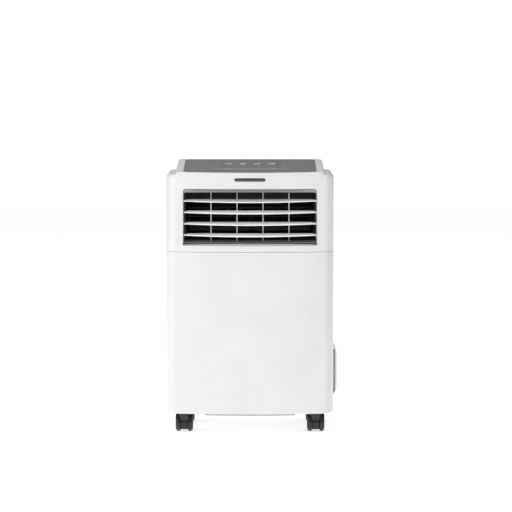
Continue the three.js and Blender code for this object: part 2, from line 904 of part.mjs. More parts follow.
function blowerMotor() {
  const x = -blowerPlate - 2;
  const can = turned(
    "x",
    [
      [0, x - 34],
      [22, x - 34],
      [27, x - 30],
      [27, x - 6],
      [22, x],
      [0, x],
    ],
    [0, blowerY, blowerZ],
  );
  return piece("blower_motor", can, finishes.galvanised());
}

// A tube-and-fin coil: a finned core between two end plates, with return bends on one side.
function coil(name, halfLength, y, z) {
  const fins = 10;
  const pitch = (2 * halfLength) / fins;
  const core = box([-halfLength, halfLength], [y + 2, y + coilDepth - 2], z);
  let body = core;
  for (let i = 0; i <= fins; i += 2) {
    const x = -halfLength + i * pitch;
    const low = Math.max(-halfLength, x - pitch / 2);
    const high = Math.min(halfLength, x + pitch / 2);
    body = body.add(box([low, high], [y, y + coilDepth], z));
  }
  const bends = Math.floor((z[1] - z[0]) / 60);
  for (let i = 0; i < bends; i++) {
    const bendZ = z[0] + 30 + i * 60;
    const bend = new THREE.TorusGeometry(9, 4, 4, 8).rotateX(Math.PI / 2);
    body = body.add(solid(bend.translate(-halfLength, y + coilDepth / 2, bendZ)));
  }
  return piece(name, body, finishes.aluminium());
}

function evaporatorTray() {
  const y = [evaporatorY - 4, evaporatorY + coilDepth + 6];
  const z = [evaporatorZ[0] - 10, evaporatorZ[0] - 1];
  const x = [-topHalf + 12, topHalf - 12];
  const hollow = box([x[0] + 2, x[1] - 2], [y[0] + 2, y[1] - 2], [z[0] + 2, z[1] + 1]);
  return piece("evaporator_tray", cut(box(x, y, z), hollow), finishes.greyPlastic());
}

// ---------------------------------------------------------------- intake grilles and filters

function upperGrilleZ() {
  const low = seam + grilleMargin;
  return [low, low + upperGrilleHeight];
}
function lowerGrilleZ() {
  const low = floorGap + 2 * grilleMargin;
  return [low, deckHeight - lowerGrilleDrop];
}

// A slatted panel that drops into its window in the rear wall.
function intakeGrille(name, z) {
  const x = [-grilleWidth / 2 + joint, grilleWidth / 2 - joint];
  const low = z[0] + joint;
  const high = z[1] - joint;
  let grille = box(x, [rear - wall, rear + 0.6], [low, high]);
  const rows = Math.floor((high - low - 2 * slatRim) / slatPitch);
  const start = (low + high - rows * slatPitch) / 2;
  for (let i = 0; i < rows; i++) {
    const z0 = start + i * slatPitch + (slatPitch - slatGap) / 2;
    grille = cut(
      grille,
      box([x[0] + slatRim, x[1] - slatRim], [rear - 2 * wall, rear + wall], [z0, z0 + slatGap]),
    );
  }
  return piece(name, grille, finishes.shell());
}

// A washable filter screen in a light frame, clipped behind its grille.
function filterScreen(name, z) {
  const x = [-grilleWidth / 2 + 4, grilleWidth / 2 - 4];
  const y = [rear - wall - 4.5, rear - wall - clearance];
  const span = [z[0] + 4, z[1] - 4];
  let screen = box(x, y, span);
  const columns = 4;
  const rows = 2;
  const rib = 4;
  const cellX = (x[1] - x[0] - rib) / columns;
  const cellZ = (span[1] - span[0] - rib) / rows;
  for (let i = 0; i < columns; i++) {
    for (let k = 0; k < rows; k++) {
      const x0 = x[0] + rib + i * cellX;
      const z0 = span[0] + rib + k * cellZ;
      const pocket = [x0, x0 + cellX - rib];
      screen = cut(screen, box(pocket, [y[0] + 1, y[1] + 1], [z0, z0 + cellZ - rib]));
    }
  }
  return piece(name, screen, finishes.mesh());
}

// ---------------------------------------------------------------- base, deck and lower bay

const panRim = 16; // height of the rim round the pan
const panStep = 4.2; // how far the drip well hangs below the pan
const wellHalf = 112;
const spigotZ = deckHeight + spigotRise + spigotRadius + spigotWall;
const drainZ = floorGap + drainRise;
const glandZ = deckHeight + glandRise;
const casterY = [front + frontBow + casterInset, rear - casterInset];

function basePan() {
  const rim = wall + clearance;
  const outer = loft([
    { points: inset(housing, rim), level: panFloor },
    { points: inset(housing, rim), level: panFloor + panRim },
  ]);
  const inner = loft([
    { points: inset(housing, rim + wall), level: panFloor + wall },
    { points: inset(housing, rim + wall), level: panFloor + 2 * panRim },
  ]);
  const well = box([-wellHalf, wellHalf], [front - wall, rear - 40], [panFloor - panStep, panFloor + 1]);
  let pan = cut(outer, inner, behindNotch()).add(well.intersect(column(2 * wall)));
  for (const x of [-casterSpread, casterSpread]) {
    for (const y of casterY) {
      pan = pan.add(bar("z", stemRadius + 4, [x, y], [panFloor, panFloor + stemRise + 2]));
      pan = cut(pan, bar("z", stemRadius + 0.3, [x, y], [panFloor - 1, panFloor + stemRise + 0.5]));
    }
  }
  return piece("base_pan", pan, finishes.pan());
}

// The pan's rear rim is notched round the drain plug.
function behindNotch() {
  return bar("y", drainRadius + 2, [0, drainZ], [rear - 30, rear], 16);
}

function deck() {
  const plate = loft([
    { points: inset(housing, wall + clearance), level: deckHeight },
    { points: inset(housing, wall + clearance), level: deckHeight + wall },
  ]).intersect(behind(partY));
  const ductHole = box(
    [outletX[0] - 1, outletX[1] + 1],
    [fanY[0] - 1, fanY[1] + 1],
    [deckHeight - 1, deckHeight + 2 * wall],
  );
  const pipeHole = bar("z", 12, [suctionX, suctionY], [deckHeight - 1, deckHeight + 2 * wall], 12);
  return piece("deck", cut(plate, ductHole, pipeHole), finishes.galvanised());
}

// Condenser fan: a volute round the wheel, its mouth facing the coil, its outlet going up.
const fanX = 60;
const fanZ = panFloor + 0.515 * bay;
const fanY = [-fanDepth - 10, 14];
const voluteStart = 1.12 * fanRadius;
const voluteEnd = 1.53 * fanRadius;
const outletX = [fanX + voluteStart * Math.cos(60 * deg), fanX + voluteEnd];
const suctionX = -135;
const suctionY = 52;

function volute(grow) {
  const points = [];
  const turns = 15;
  for (let i = 0; i <= turns; i++) {
    const a = (60 + (300 * i) / turns) * deg;
    const r = voluteStart + ((voluteEnd - voluteStart) * i) / turns + grow;
    points.push([fanX + r * Math.cos(a), fanZ + r * Math.sin(a)]);
  }
  points.push([outletX[1] + grow, deckHeight - joint]);
  points.push([outletX[0] - grow, deckHeight - joint]);
  return polygon(points);
}

function condenserScroll() {
  const hollow = volute(-wall);
  const mouth = bar("y", fanRadius - 8, [fanX, fanZ], [fanY[1] - 2 * wall, fanY[1] + wall], 24);
  const shaft = bar("y", 6, [fanX, fanZ], [fanY[0] - wall, fanY[0] + 2 * wall]);
  const outlet = box(
    [outletX[0] + wall, outletX[1] - wall],
    [fanY[0] + wall, fanY[1] - wall],
    [deckHeight - 10, deckHeight + 10],
  );
  const body = cut(
    runBack(volute(0), ...fanY),
    runBack(hollow, fanY[0] + wall, fanY[1] - wall),
    mouth,
    shaft,
    outlet,
  );
  return piece("condenser_scroll", body, finishes.greyPlastic());
}

// A radial wheel: a back disc, a front ring and blades between them, on the Y axis.
function condenserWheel() {
  const blades = 12;
  const low = fanY[0] + wall + 3;
  const high = fanY[1] - wall - 3;
  const back = bar("y", fanRadius, [0, 0], [low, low + 2], blades);
  const ring = cut(
    bar("y", fanRadius, [0, 0], [high - 2, high], blades),
    bar("y", fanRadius - 15, [0, 0], [high - 5, high + 5], blades),
  );
  const blade = runBack(
    polygon([
      [fanRadius - 15, -1],
      [fanRadius - 1, 2.6],
      [fanRadius - 1.4, 4.2],
      [fanRadius - 15, 0.8],
    ]),
    low,
    high,
  );
  let wheel = join(back, ring, bar("y", 4, [0, 0], [fanY[0] - 2, low + 12], 12));
  for (let i = 0; i < blades; i++) wheel = wheel.add(blade.rotate([0, (360 * i) / blades, 0]));
  const made = piece("condenser_wheel", wheel, finishes.blackPlastic());
  made.position.set(fanX, 0, fanZ);
  return made;
}

function condenserMotor() {
  const y = fanY[0] - 2.5;
  const can = turned(
    "y",
    [
      [0, y - 42],
      [30, y - 42],
      [36, y - 37],
      [36, y - 6],
      [30, y],
      [0, y],
    ],
    [fanX, 0, fanZ],
  );
  return piece("condenser_motor", can, finishes.galvanised());
}

const compressorX = -105;
const compressorY = -40;
const compressorLow = panFloor + 20;
const compressorHeight = deckHeight - compressorHeadroom - compressorLow;
const footHalf = 3;

function compressor() {
  const low = compressorLow;
  const high = low + compressorHeight;
  const r = compressorRadius;
  const can = turned(
    "z",
    [
      [0, low],
      [r * 0.5, low],
      [r * 0.88, low + 0.06 * compressorHeight],
      [r, low + 0.16 * compressorHeight],
      [r, high - 0.18 * compressorHeight],
      [r * 0.9, high - 0.08 * compressorHeight],
      [r * 0.55, high - 0.01 * compressorHeight],
      [0, high],
    ],
    [compressorX, compressorY, 0],
    24,
  );
  const foot = raised(
    rounded(compressorX - 52, compressorX + 52, compressorY - 52, compressorY + 52, 12),
    low - footHalf,
    low + footHalf,
  );
  return piece("compressor", join(can, foot), finishes.blackMetal());
}

function compressorMounts() {
  const top = compressorLow - footHalf - clearance;
  const low = panFloor + wall + clearance;
  const bush = (x, y) => bar("z", 9, [compressorX + x, compressorY + y], [low, top], 12);
  const strip = box(
    [compressorX - 44, compressorX + 44],
    [compressorY - 46, compressorY + 46],
    [low, low + 3],
  );
  return piece(
    "compressor_mounts",
    join(strip, bush(-40, -42), bush(40, -42), bush(-40, 42), bush(40, 42)),
    finishes.rubber(),
  );
}

const accumulatorLow = panFloor + 30;
const accumulatorHeight = ((deckHeight - accumulatorLow) * 2) / 3;

function accumulator() {
  const low = accumulatorLow;
  const high = low + accumulatorHeight;
  const r = accumulatorRadius;
  const can = turned(
    "z",
    [
      [0, low],
      [r * 0.6, low + 0.02 * accumulatorHeight],
      [r, low + 0.12 * accumulatorHeight],
      [r, high - 0.12 * accumulatorHeight],
      [r * 0.6, high - 0.02 * accumulatorHeight],
      [0, high],
    ],
    [suctionX, suctionY, 0],
    18,
  );
  return piece("accumulator", can, finishes.blackMetal());
}

// ---------------------------------------------------------------- exhaust

const ductX = [spigotX - spigotRadius - 6, spigotX + spigotRadius + 6];
const ductZ = [deckHeight + wall + clearance, spigotZ + spigotRadius + 8];
const ductRear = rear - wall - 12;

function exhaustDuct() {
  const profile = (grow) =>
    polygon([
      [fanY[0] - grow, ductZ[0] - grow],
      [ductRear, ductZ[0] - grow],
      [ductRear, ductZ[1] + grow],
      [fanY[0] + 50, ductZ[1] + grow],
      [fanY[0] - grow, ductZ[1] - 50],
    ]);
  const hollow = cut(
    runAcross(profile(-wall), ductX[0] + wall, ductX[1] - wall),
    behind(ductRear - 1),
  ).add(
    box(
      [ductX[0] + wall, ductX[1] - wall],
      [ductRear - 20, ductRear + 5],
      [ductZ[0] + wall, ductZ[1] - wall],
    ),
  );
  const inletHole = box(
    [outletX[0] + wall, outletX[1] - wall],
    [fanY[0] + wall, fanY[1] - wall],
    [ductZ[0] - 5, ductZ[0] + 5],
  );
  return piece(
    "exhaust_duct",
    cut(runAcross(profile(0), ...ductX), hollow, inletHole),
    finishes.greyPlastic(),
  );
}

// The collar that the exhaust hose pushes on to, with a square flange against the duct.
function exhaustSpigot() {
  const outer = spigotRadius + spigotWall;
  const end = rear + spigotProud;
  const flange = rounded(ductX[0], ductX[1], ductZ[0], ductZ[1], 3);
  const body = join(
    runBack(flange, ductRear + clearance, ductRear + clearance + 4, 3),
    bar("y", outer, [spigotX, spigotZ], [ductRear + clearance, end], 28),
  );
  const bore = bar("y", spigotRadius, [spigotX, spigotZ], [ductRear - 5, end + 5], 28);
  return piece("exhaust_spigot", cut(body, bore), finishes.shell());
}

// ---------------------------------------------------------------- wiring, pipes, plug and gland

function electricalBox() {
  const x = [-half + 34, -half + 150];
  const y = [partY + 14, partY + 104];
  const z = [deckHeight + wall + clearance, deckHeight + 140];
  const body = box(x, y, z);
  const lid = box([x[0] - 2, x[1] + 2], [y[0] - 2, y[1] + 2], [z[1] - 12, z[1]]);
  return piece("electrical_box", join(body, lid), finishes.galvanised());
}

const condenserY = rear - 62;
const condenserZ = [panFloor + 14, deckHeight - 8];

function suctionPipe() {
  const low = accumulatorLow + accumulatorHeight + clearance;
  const endX = -topHalf + 20;
  const end = evaporatorZ[0] - 14;
  return piece(
    "suction_pipe",
    pipe(
      [
        [suctionX, suctionY, low],
        [suctionX, suctionY, (low + deckHeight) / 2],
        [suctionX, suctionY, deckHeight + 10],
        [suctionX - 10, suctionY - 6, deckHeight + 60],
        [endX, suctionY - 10, end - 50],
        [endX, suctionY - 10, end],
      ],
      5,
    ),
    finishes.copper(),
  );
}

function dischargePipe() {
  const top = compressorLow + compressorHeight + clearance;
  const coilX = -topHalf + 24;
  return piece(
    "discharge_pipe",
    pipe(
      [
        [compressorX, compressorY, top],
        [compressorX, compressorY, top + 9],
        [compressorX - 14, compressorY + 14, top + 16],
        [coilX, compressorY + 60, top + 10],
        [coilX, condenserY - 30, top - 10],
        [coilX, condenserY - 14, top - 0.24 * compressorHeight],
        [coilX, condenserY - 14, top - 0.42 * compressorHeight],
      ],
      4,
    ),
    finishes.copper(),
  );
}

function drainPlug() {
  const body = join(
    bar("y", drainRadius, [0, drainZ], [rear - 14, rear + 1]),
    bar("y", drainRadius + 4, [0, drainZ], [rear + clearance, rear + 3.5]),
  );
  return piece("drain_plug", body, finishes.rubber());
}

function cordGland() {
  const body = cut(
    join(
      bar("y", glandRadius, [glandX, glandZ], [rear - 14, rear + 1]),
      bar("y", glandRadius + 3, [glandX, glandZ], [rear + clearance, rear + 5]),
    ),
    bar("y", 4, [glandX, glandZ], [rear - 20, rear + 10], 12),
  );
  return piece("cord_gland", body, finishes.blackPlastic());
}

// A cleat on the right side: a web against the casing under a wider flange with sloping ends.
function cordCleat() {
  const inner = half + 0.3;
  const outer = half + cleatProud;
  const top = cleatBottom + cleatHeight;
  const flangeX = outer - cleatFlange;
  const middle = cleatY;
  const web = box([inner, flangeX + 1], [middle - cleatWidth / 4, middle + cleatWidth / 4], [
    cleatBottom + 22,
    top - 26,
  ]);
  const outline = polygon([
    [inner, cleatBottom],
    [outer, cleatBottom + 15],
    [outer, top - 23],
    [inner, top],
    [inner, top - 5],
    [flangeX, top - 26],
    [flangeX, cleatBottom + 18],
    [inner, cleatBottom + 5],
  ]);
  const strap = runBack(outline, middle - cleatWidth / 2, middle + cleatWidth / 2);
  return piece("cord_cleat", join(strap, web), finishes.greyPlastic());
}

// ---------------------------------------------------------------- casters

const casterNames = ["front_left", "front_right", "rear_left", "rear_right"];

// One twin-wheel caster, its own origin at the foot of the swivel axis on the floor.
function caster(name, x, y) {
  const group = new THREE.Group();
  group.position.set(x, y, 0);
  const hubHalf = wheelGap / 2 - clearance;
  const top = panFloor - joint;
  const axle = [casterTrail, wheelRadius];
  const fender = cut(
    bar("x", wheelRadius + 3.2, axle, [-hubHalf - wheelWidth + 1, hubHalf + wheelWidth - 1], 14),
    bar("x", wheelRadius + 1, axle, [-far, far], 14),
    under(wheelRadius + 9),
  );
  const core = join(
    bar("x", wheelRadius - 4, axle, [-hubHalf, hubHalf], 12),
    box([-hubHalf, hubHalf], [-8, casterTrail + 10], [wheelRadius, wheelRadius + wheelRadius + 1.5]),
    fender,
    bar("z", 12, [0, 0], [wheelRadius + 12, top], 12),
    bar("z", stemRadius, [0, 0], [top - 1, panFloor + stemRise], 10),
  );
  const wheelClear = cut(
    bar("x", wheelRadius + 1, axle, [-far, far], 14),
    box([-hubHalf, hubHalf], [-far, far], [-far, far]),
  );
  const fork = cut(core, wheelClear, bar("x", 3.4, axle, [-far, far], 8));
  const ends = wheelGap / 2 + wheelWidth;
  const wheel = (side) => {
    const disc = turned(
      "x",
      [
        [0, 0],
        [wheelRadius - 3, 0],
        [wheelRadius, 1.2],
        [wheelRadius, wheelWidth - 5],
        [wheelRadius - 2.4, wheelWidth - 1.6],
        [wheelRadius - 7, wheelWidth],
        [0, wheelWidth],
      ],
      [0, 0, 0],
      18,
    );
    const handed = side > 0 ? disc : disc.mirror([1, 0, 0]);
    return handed.translate([(side * wheelGap) / 2, casterTrail, wheelRadius]);
  };
  const pair = join(bar("x", 3, axle, [-ends + 2, ends - 2], 8), wheel(-1), wheel(1));
  group.add(piece(`caster_fork_${name}`, fork, finishes.blackPlastic()));
  group.add(piece(`caster_wheels_${name}`, pair, finishes.wheel()));
  return group;
}

// ---------------------------------------------------------------- the whole unit

const unit = new THREE.Group();
unit.add(basePan(), frontPanel(), frontFascia(), rearCasingLower(), rearCasingUpper());
slope.add(controlPanel(), displayOverlay(), controlBoard(), ...keys());
unit.add(slope, receiverLens(), outletFrame());
unit.add(...louvers(), louverLink(), ...vanes(), vaneLink(), swingMotor());
unit.add(blowerHousing(), blowerWheel(), blowerMotor(), evaporatorTray());
unit.add(coil("evaporator_coil", topHalf - 20, evaporatorY, evaporatorZ));
unit.add(intakeGrille("upper_intake_grille", upperGrilleZ()));
unit.add(filterScreen("upper_filter", upperGrilleZ()));
unit.add(intakeGrille("lower_intake_grille", lowerGrilleZ()));
unit.add(filterScreen("lower_filter", lowerGrilleZ()));
unit.add(deck(), condenserScroll(), condenserWheel(), condenserMotor());
unit.add(coil("condenser_coil", topHalf - 20, condenserY, condenserZ));
unit.add(compressor(), compressorMounts(), accumulator());
unit.add(suctionPipe(), dischargePipe(), electricalBox());
unit.add(exhaustDuct(), exhaustSpigot(), drainPlug(), cordGland(), cordCleat());
casterNames.forEach((name, i) => {
  const x = i % 2 === 0 ? -casterSpread : casterSpread;
  unit.add(caster(name, x, casterY[Math.floor(i / 2)]));
});

// The cleat and the hose collar stand proud, so the unit is shifted to centre its overall box.
unit.position.set(-cleatProud / 2, -spigotProud / 2, 0);

const airConditioner = new THREE.Group();
airConditioner.add(unit);
export default airConditioner;
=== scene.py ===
import math

import bmesh
import bpy
import numpy as np
from mathutils import Matrix, Vector


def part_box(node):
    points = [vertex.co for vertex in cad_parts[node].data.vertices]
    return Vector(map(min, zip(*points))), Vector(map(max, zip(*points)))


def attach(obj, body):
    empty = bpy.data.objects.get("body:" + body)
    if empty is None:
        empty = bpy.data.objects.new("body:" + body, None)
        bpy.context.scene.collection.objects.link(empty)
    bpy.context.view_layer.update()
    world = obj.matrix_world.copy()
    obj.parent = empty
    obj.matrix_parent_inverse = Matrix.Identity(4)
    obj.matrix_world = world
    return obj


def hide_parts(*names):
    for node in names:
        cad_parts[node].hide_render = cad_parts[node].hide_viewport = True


# Portable air conditioner: smooth shells, slats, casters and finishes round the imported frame.
# Metres, +Z up, front towards -Y. Every size is read from the frame or is a named value here.

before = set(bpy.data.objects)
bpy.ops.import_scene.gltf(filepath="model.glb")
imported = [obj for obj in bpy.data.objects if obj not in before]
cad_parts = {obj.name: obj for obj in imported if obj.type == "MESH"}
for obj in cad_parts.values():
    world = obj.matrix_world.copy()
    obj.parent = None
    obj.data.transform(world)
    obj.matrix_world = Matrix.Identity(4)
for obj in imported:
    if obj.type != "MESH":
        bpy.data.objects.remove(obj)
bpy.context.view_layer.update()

MM = 0.001

# ---------------------------------------------------------------- sizes

CASING_LOW, CASING_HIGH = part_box("rear_casing_lower")
UPPER_LOW, UPPER_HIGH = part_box("rear_casing_upper")
FASCIA_LOW, FASCIA_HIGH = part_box("front_fascia")

MID = (CASING_LOW.x + CASING_HIGH.x) / 2
HALF = (CASING_HIGH.x - CASING_LOW.x) / 2
FRONT = FASCIA_LOW.y
REAR = CASING_HIGH.y
HEM = CASING_LOW.z
SEAM = (CASING_HIGH.z + UPPER_LOW.z) / 2
SHOULDER = UPPER_HIGH.z
TOP = FASCIA_HIGH.z
TOP_REAR = FASCIA_HIGH.y

WALL = 2.5 * MM
TOP_WALL = 4 * MM
JOINT = 0.6 * MM
SIDE_SPLAY = 9 * MM
SPLAY_RUN = 87 * MM
SPLAY_HEADING = math.radians(64)
BOW = 22 * MM
FRONT_CORNER = 14 * MM
TOP_INSET = 12 * MM
TOP_CORNER = 14 * MM
REAR_CORNER = 28 * MM
SHOULDER_ROUND = 10 * MM
HEM_ROUND = 2.2 * MM
SEAM_ROUND = 0.7 * MM
TOP_ROUND = 7 * MM
FRONT_DROP = 22.5 * MM
FACE_HALF = HALF - SIDE_SPLAY
TOP_HALF = FACE_HALF - TOP_INSET
PART_Y = FRONT + BOW + FRONT_CORNER + 4 * MM
FRONT_TOP = TOP - FRONT_DROP
SLOPE = FRONT_DROP / (TOP_REAR - 0.7 * 8 * MM - FRONT)
SLOPE_ANGLE = math.atan(SLOPE)

VENT_HALF = TOP_HALF - 21 * MM
VENT_TOP = TOP - 62 * MM
VENT_BOTTOM = VENT_TOP - 140 * MM
VENT_CORNER = 8 * MM
SILL_RISE = 7.4 * MM
SILL_RUN = 38 * MM

# ---------------------------------------------------------------- materials


class Nodes:
    """A node tree that is filled by short calls."""

    def __init__(self, name):
        self.material = bpy.data.materials.new(name)
        self.material.use_nodes = True
        self.tree = self.material.node_tree
        self.shader = self.tree.nodes["Principled BSDF"]
        self.coords = self.tree.nodes.new("ShaderNodeTexCoord").outputs["Object"]

    def add(self, kind, inputs=None, **settings):
        node = self.tree.nodes.new(kind)
        for key, value in settings.items():
            setattr(node, key, value)
        for key, value in (inputs or {}).items():
            if isinstance(value, bpy.types.NodeSocket):
                self.tree.links.new(value, node.inputs[key])
            else:
                node.inputs[key].default_value = value
        return node

    def noise(self, scale, detail=3.0, roughness=0.5):
        inputs = {"Vector": self.coords, "Scale": scale, "Detail": detail, "Roughness": roughness}
        return self.add("ShaderNodeTexNoise", inputs).outputs["Fac"]

    def ramp(self, value, low, high, to_low, to_high):
        inputs = {
            "Value": value,
            "From Min": low,
            "From Max": high,
            "To Min": to_low,
            "To Max": to_high,
        }
        return self.add("ShaderNodeMapRange", inputs).outputs["Result"]

    def mix(self, factor, first, second):
        node = self.add("ShaderNodeMix", {"Factor": factor}, data_type="RGBA")
        for socket, value in ((node.inputs[6], first), (node.inputs[7], second)):
            if isinstance(value, bpy.types.NodeSocket):
                self.tree.links.new(value, socket)
            else:
                socket.default_value = (*value, 1)
        return node.outputs[2]

    def link(self, value, socket):
        self.tree.links.new(value, self.shader.inputs[socket])

    def bump(self, height, distance, strength, after=None):
        inputs = {"Height": height, "Distance": distance, "Strength": strength}
        if after is not None:
            inputs["Normal"] = after
        return self.add("ShaderNodeBump", inputs).outputs["Normal"]


def moulded(name, colour, roughness, grain=0.00004, grain_scale=1400, tint=0.03, coat=0.0, gleam=0.5):
    """Moulded plastic: fine spark grain, slow unevenness in gloss and colour, light scuffs."""
    n = Nodes(name)
    slow = n.noise(9, 4, 0.55)
    fine = n.noise(grain_scale, 2, 0.6)
    wear = n.ramp(n.noise(55, 6, 0.7), 0.62, 0.78, 0, 1)
    darker = tuple(c * (1 - tint) for c in colour)
    lighter = tuple(min(1, c * (1 + tint)) for c in colour)
    base = n.mix(n.ramp(slow, 0.3, 0.7, 0, 1), darker, lighter)
    worn = n.mix(n.ramp(wear, 0, 1, 0, 0.35), base, tuple(min(1, c * (1 + 2 * tint)) for c in colour))
    n.link(worn, "Base Color")
    gloss = n.ramp(slow, 0.3, 0.7, roughness - 0.03, roughness + 0.04)
    scuffed = n.add("ShaderNodeMath", {0: gloss, 1: n.ramp(wear, 0, 1, 0, 0.05)}, operation="ADD")
    n.link(scuffed.outputs[0], "Roughness")
    wave = n.bump(slow, 0.0004, 0.12)
    n.link(n.bump(fine, grain, 0.5, wave), "Normal")
    n.shader.inputs["Coat Weight"].default_value = coat
    n.shader.inputs["Specular IOR Level"].default_value = gleam
    n.shader.inputs["Coat Roughness"].default_value = 0.08
    return n.material


def sheet_metal(name, colour, roughness, stretch=(1, 1, 1), spangle=60):
    """Bare or plated metal with a faint drawn grain and patchy dullness."""
    n = Nodes(name)
    mapped = n.add("ShaderNodeMapping", {"Vector": n.coords, "Scale": stretch}).outputs["Vector"]
    grain = n.add("ShaderNodeTexNoise", {"Vector": mapped, "Scale": 900.0, "Detail": 2.0}).outputs["Fac"]
    patches = n.add("ShaderNodeTexVoronoi", {"Vector": n.coords, "Scale": spangle}).outputs["Distance"]
    n.link(n.mix(patches, tuple(c * 0.85 for c in colour), colour), "Base Color")
    n.link(n.ramp(patches, 0, 0.8, roughness - 0.08, roughness + 0.12), "Roughness")
    n.link(n.bump(grain, 0.00005, 0.4), "Normal")
    n.shader.inputs["Metallic"].default_value = 1.0
    return n.material


def woven(name, colour, pitch):
    """A filter screen: two crossed sets of fine threads."""
    n = Nodes(name)
    heights = []
    for axis in ("X", "Z"):
        wave = n.add(
            "ShaderNodeTexWave",
            {"Vector": n.coords, "Scale": 1 / pitch / 6.2832 * 3.1416, "Distortion": 0.2},
            bands_direction=axis,
        )
        heights.append(wave.outputs["Fac"])
    both = n.add("ShaderNodeMath", {0: heights[0], 1: heights[1]}, operation="MAXIMUM").outputs[0]
    n.link(n.mix(both, tuple(c * 0.3 for c in colour), colour), "Base Color")
    n.link(n.ramp(both, 0, 1, 0.9, 0.6), "Roughness")
    n.link(n.bump(both, 0.0004, 0.8), "Normal")
    return n.material


SHELL = moulded("shell_white", (0.725, 0.72, 0.722), 0.34, coat=0.15)
# Slats and vanes are the same white plastic as the shell, painted brighter (0.93 against 0.725) as painted
# light that stands in for light reaching into the outlet.
LOUVER_LIT = moulded("louver_white", (0.93, 0.92, 0.93), 0.36, tint=0.02)
PANEL = moulded("panel_grey", (0.185, 0.177, 0.183), 0.5, grain_scale=1900, gleam=0.25)
OVERLAY = moulded("overlay_grey", (0.174, 0.166, 0.172), 0.42, grain=0.00001, gleam=0.25)
KEY = moulded("key_grey", (0.185, 0.177, 0.183), 0.45, grain=0.00003, gleam=0.25)
MARK = moulded("mark_white", (0.93, 0.925, 0.93), 0.5, grain=0.00001)
LENS = moulded("lens_smoke", (0.035, 0.034, 0.035), 0.1, grain=0.000005, coat=0.8)
# The outlet frame's grey is partly its own colour and partly painted shade: it is made darker to stand in
# for the deep shade inside the outlet.
FRAME_SHADED_GREY = moulded("frame_grey", (0.3, 0.295, 0.3), 0.5, grain=0.00008)
PAN_GREY = moulded("pan_grey", (0.37, 0.37, 0.375), 0.5, grain=0.00008)
BLACK = moulded("black_plastic", (0.018, 0.018, 0.019), 0.42, grain=0.00008, tint=0.15)
TREAD = moulded("caster_tread", (0.015, 0.015, 0.016), 0.38, grain=0.00006, tint=0.2)
DARK_INNER = moulded("inner_dark", (0.02, 0.02, 0.021), 0.6, tint=0.1)
GREY_INNER = moulded("inner_grey", (0.5, 0.5, 0.505), 0.5)
# The cleat is painted lighter than the shell white (0.8 against 0.725): painted light that lifts it out of
# the shade beside the casing.
CLEAT_LIT = moulded("cleat_painted_light", (0.8, 0.796, 0.8), 0.45)
RUBBER = moulded("rubber_black", (0.022, 0.022, 0.022), 0.75, grain=0.0001, tint=0.2)
BOARD = moulded("board_green", (0.03, 0.12, 0.05), 0.4)
ENAMEL = moulded("black_enamel", (0.02, 0.02, 0.022), 0.3, coat=0.3, tint=0.15)
ZINC = sheet_metal("galvanised_sheet", (0.62, 0.63, 0.64), 0.42)
FINS = sheet_metal("coil_fins", (0.78, 0.79, 0.8), 0.38, stretch=(20, 1, 1))
COPPER = sheet_metal("copper_tube", (0.85, 0.48, 0.33), 0.28, spangle=25)
SCREEN = woven("filter_screen", (0.09, 0.09, 0.095), 1.6 * MM)
STEEL = sheet_metal("screw_steel", (0.6, 0.6, 0.6), 0.3)

# ---------------------------------------------------------------- mesh helpers


def from_data(name, verts, faces, material):
    mesh = bpy.data.meshes.new(name)
    mesh.from_pydata([tuple(map(float, v)) for v in verts], [], faces)
    mesh.update()
    mesh.materials.append(material)
    made = bpy.data.objects.new(name, mesh)
    bpy.context.scene.collection.objects.link(made)
    return made


def fix_normals(made):
    work = bmesh.new()
    work.from_mesh(made.data)
    bmesh.ops.remove_doubles(work, verts=work.verts, dist=1e-7)
    bmesh.ops.recalc_face_normals(work, faces=work.faces)
    work.to_mesh(made.data)
    work.free()


def skinned(name, rings, material, closed=False):
    """A solid over stacked rings of points; closed joins the last ring to the first."""
    count = len(rings[0])
    verts = [v for ring in rings for v in ring]
    faces = []
    steps = len(rings) if closed else len(rings) - 1
    for r in range(steps):
        a0 = r * count
        b0 = ((r + 1) % len(rings)) * count
        for i in range(count):
            j = (i + 1) % count
            faces.append((a0 + i, a0 + j, b0 + j, b0 + i))
    if not closed:
        faces.append(tuple(reversed(range(count))))
        faces.append(tuple((len(rings) - 1) * count + i for i in range(count)))
    made = from_data(name, verts, faces, material)
    fix_normals(made)
    return made


def bake(made):
    """Applies the modifiers to the mesh."""
    bpy.context.view_layer.update()
    graph = bpy.context.evaluated_depsgraph_get()
    mesh = bpy.data.meshes.new_from_object(made.evaluated_get(graph))
    made.modifiers.clear()
    made.data = mesh


def boolean(made, other, operation="DIFFERENCE"):
    change = made.modifiers.new("cut", "BOOLEAN")
    change.operation = operation
    change.solver = "MANIFOLD"
    change.object = other
    bake(made)
    bpy.data.objects.remove(other)


def soften(made, width=0.5 * MM, segments=2, angle=40):
    """Rounds the sharp edges and smooths the shading; width 0 leaves the edges as they are."""
    made.data.shade_smooth()
    if not width:
        made.data.set_sharp_from_angle(angle=math.radians(angle))
        return
    bevel = made.modifiers.new("edges", "BEVEL")
    bevel.width = width
    bevel.segments = segments
    bevel.limit_method = "ANGLE"
    bevel.angle_limit = math.radians(angle)
    bevel.miter_outer = "MITER_ARC"
    normal = made.modifiers.new("normals", "WEIGHTED_NORMAL")
    normal.weight = 80


def finish_piece(made, body, slot, *nodes):
    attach(made, body)
    if nodes:
        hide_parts(*nodes)
    return made


def block(x, y, z):
    verts = [(a, b, c) for a in x for b in y for c in z]
    faces = [(0, 1, 3, 2), (4, 6, 7, 5), (0, 4, 5, 1), (2, 3, 7, 6), (0, 2, 6, 4), (1, 5, 7, 3)]
    made = from_data("block", verts, faces, SHELL)
    fix_normals(made)
    return made


def round_ring(radius, count):
    angles = np.linspace(0, 2 * np.pi, count, endpoint=False)
    return np.stack([np.cos(angles), np.sin(angles)], axis=1) * radius


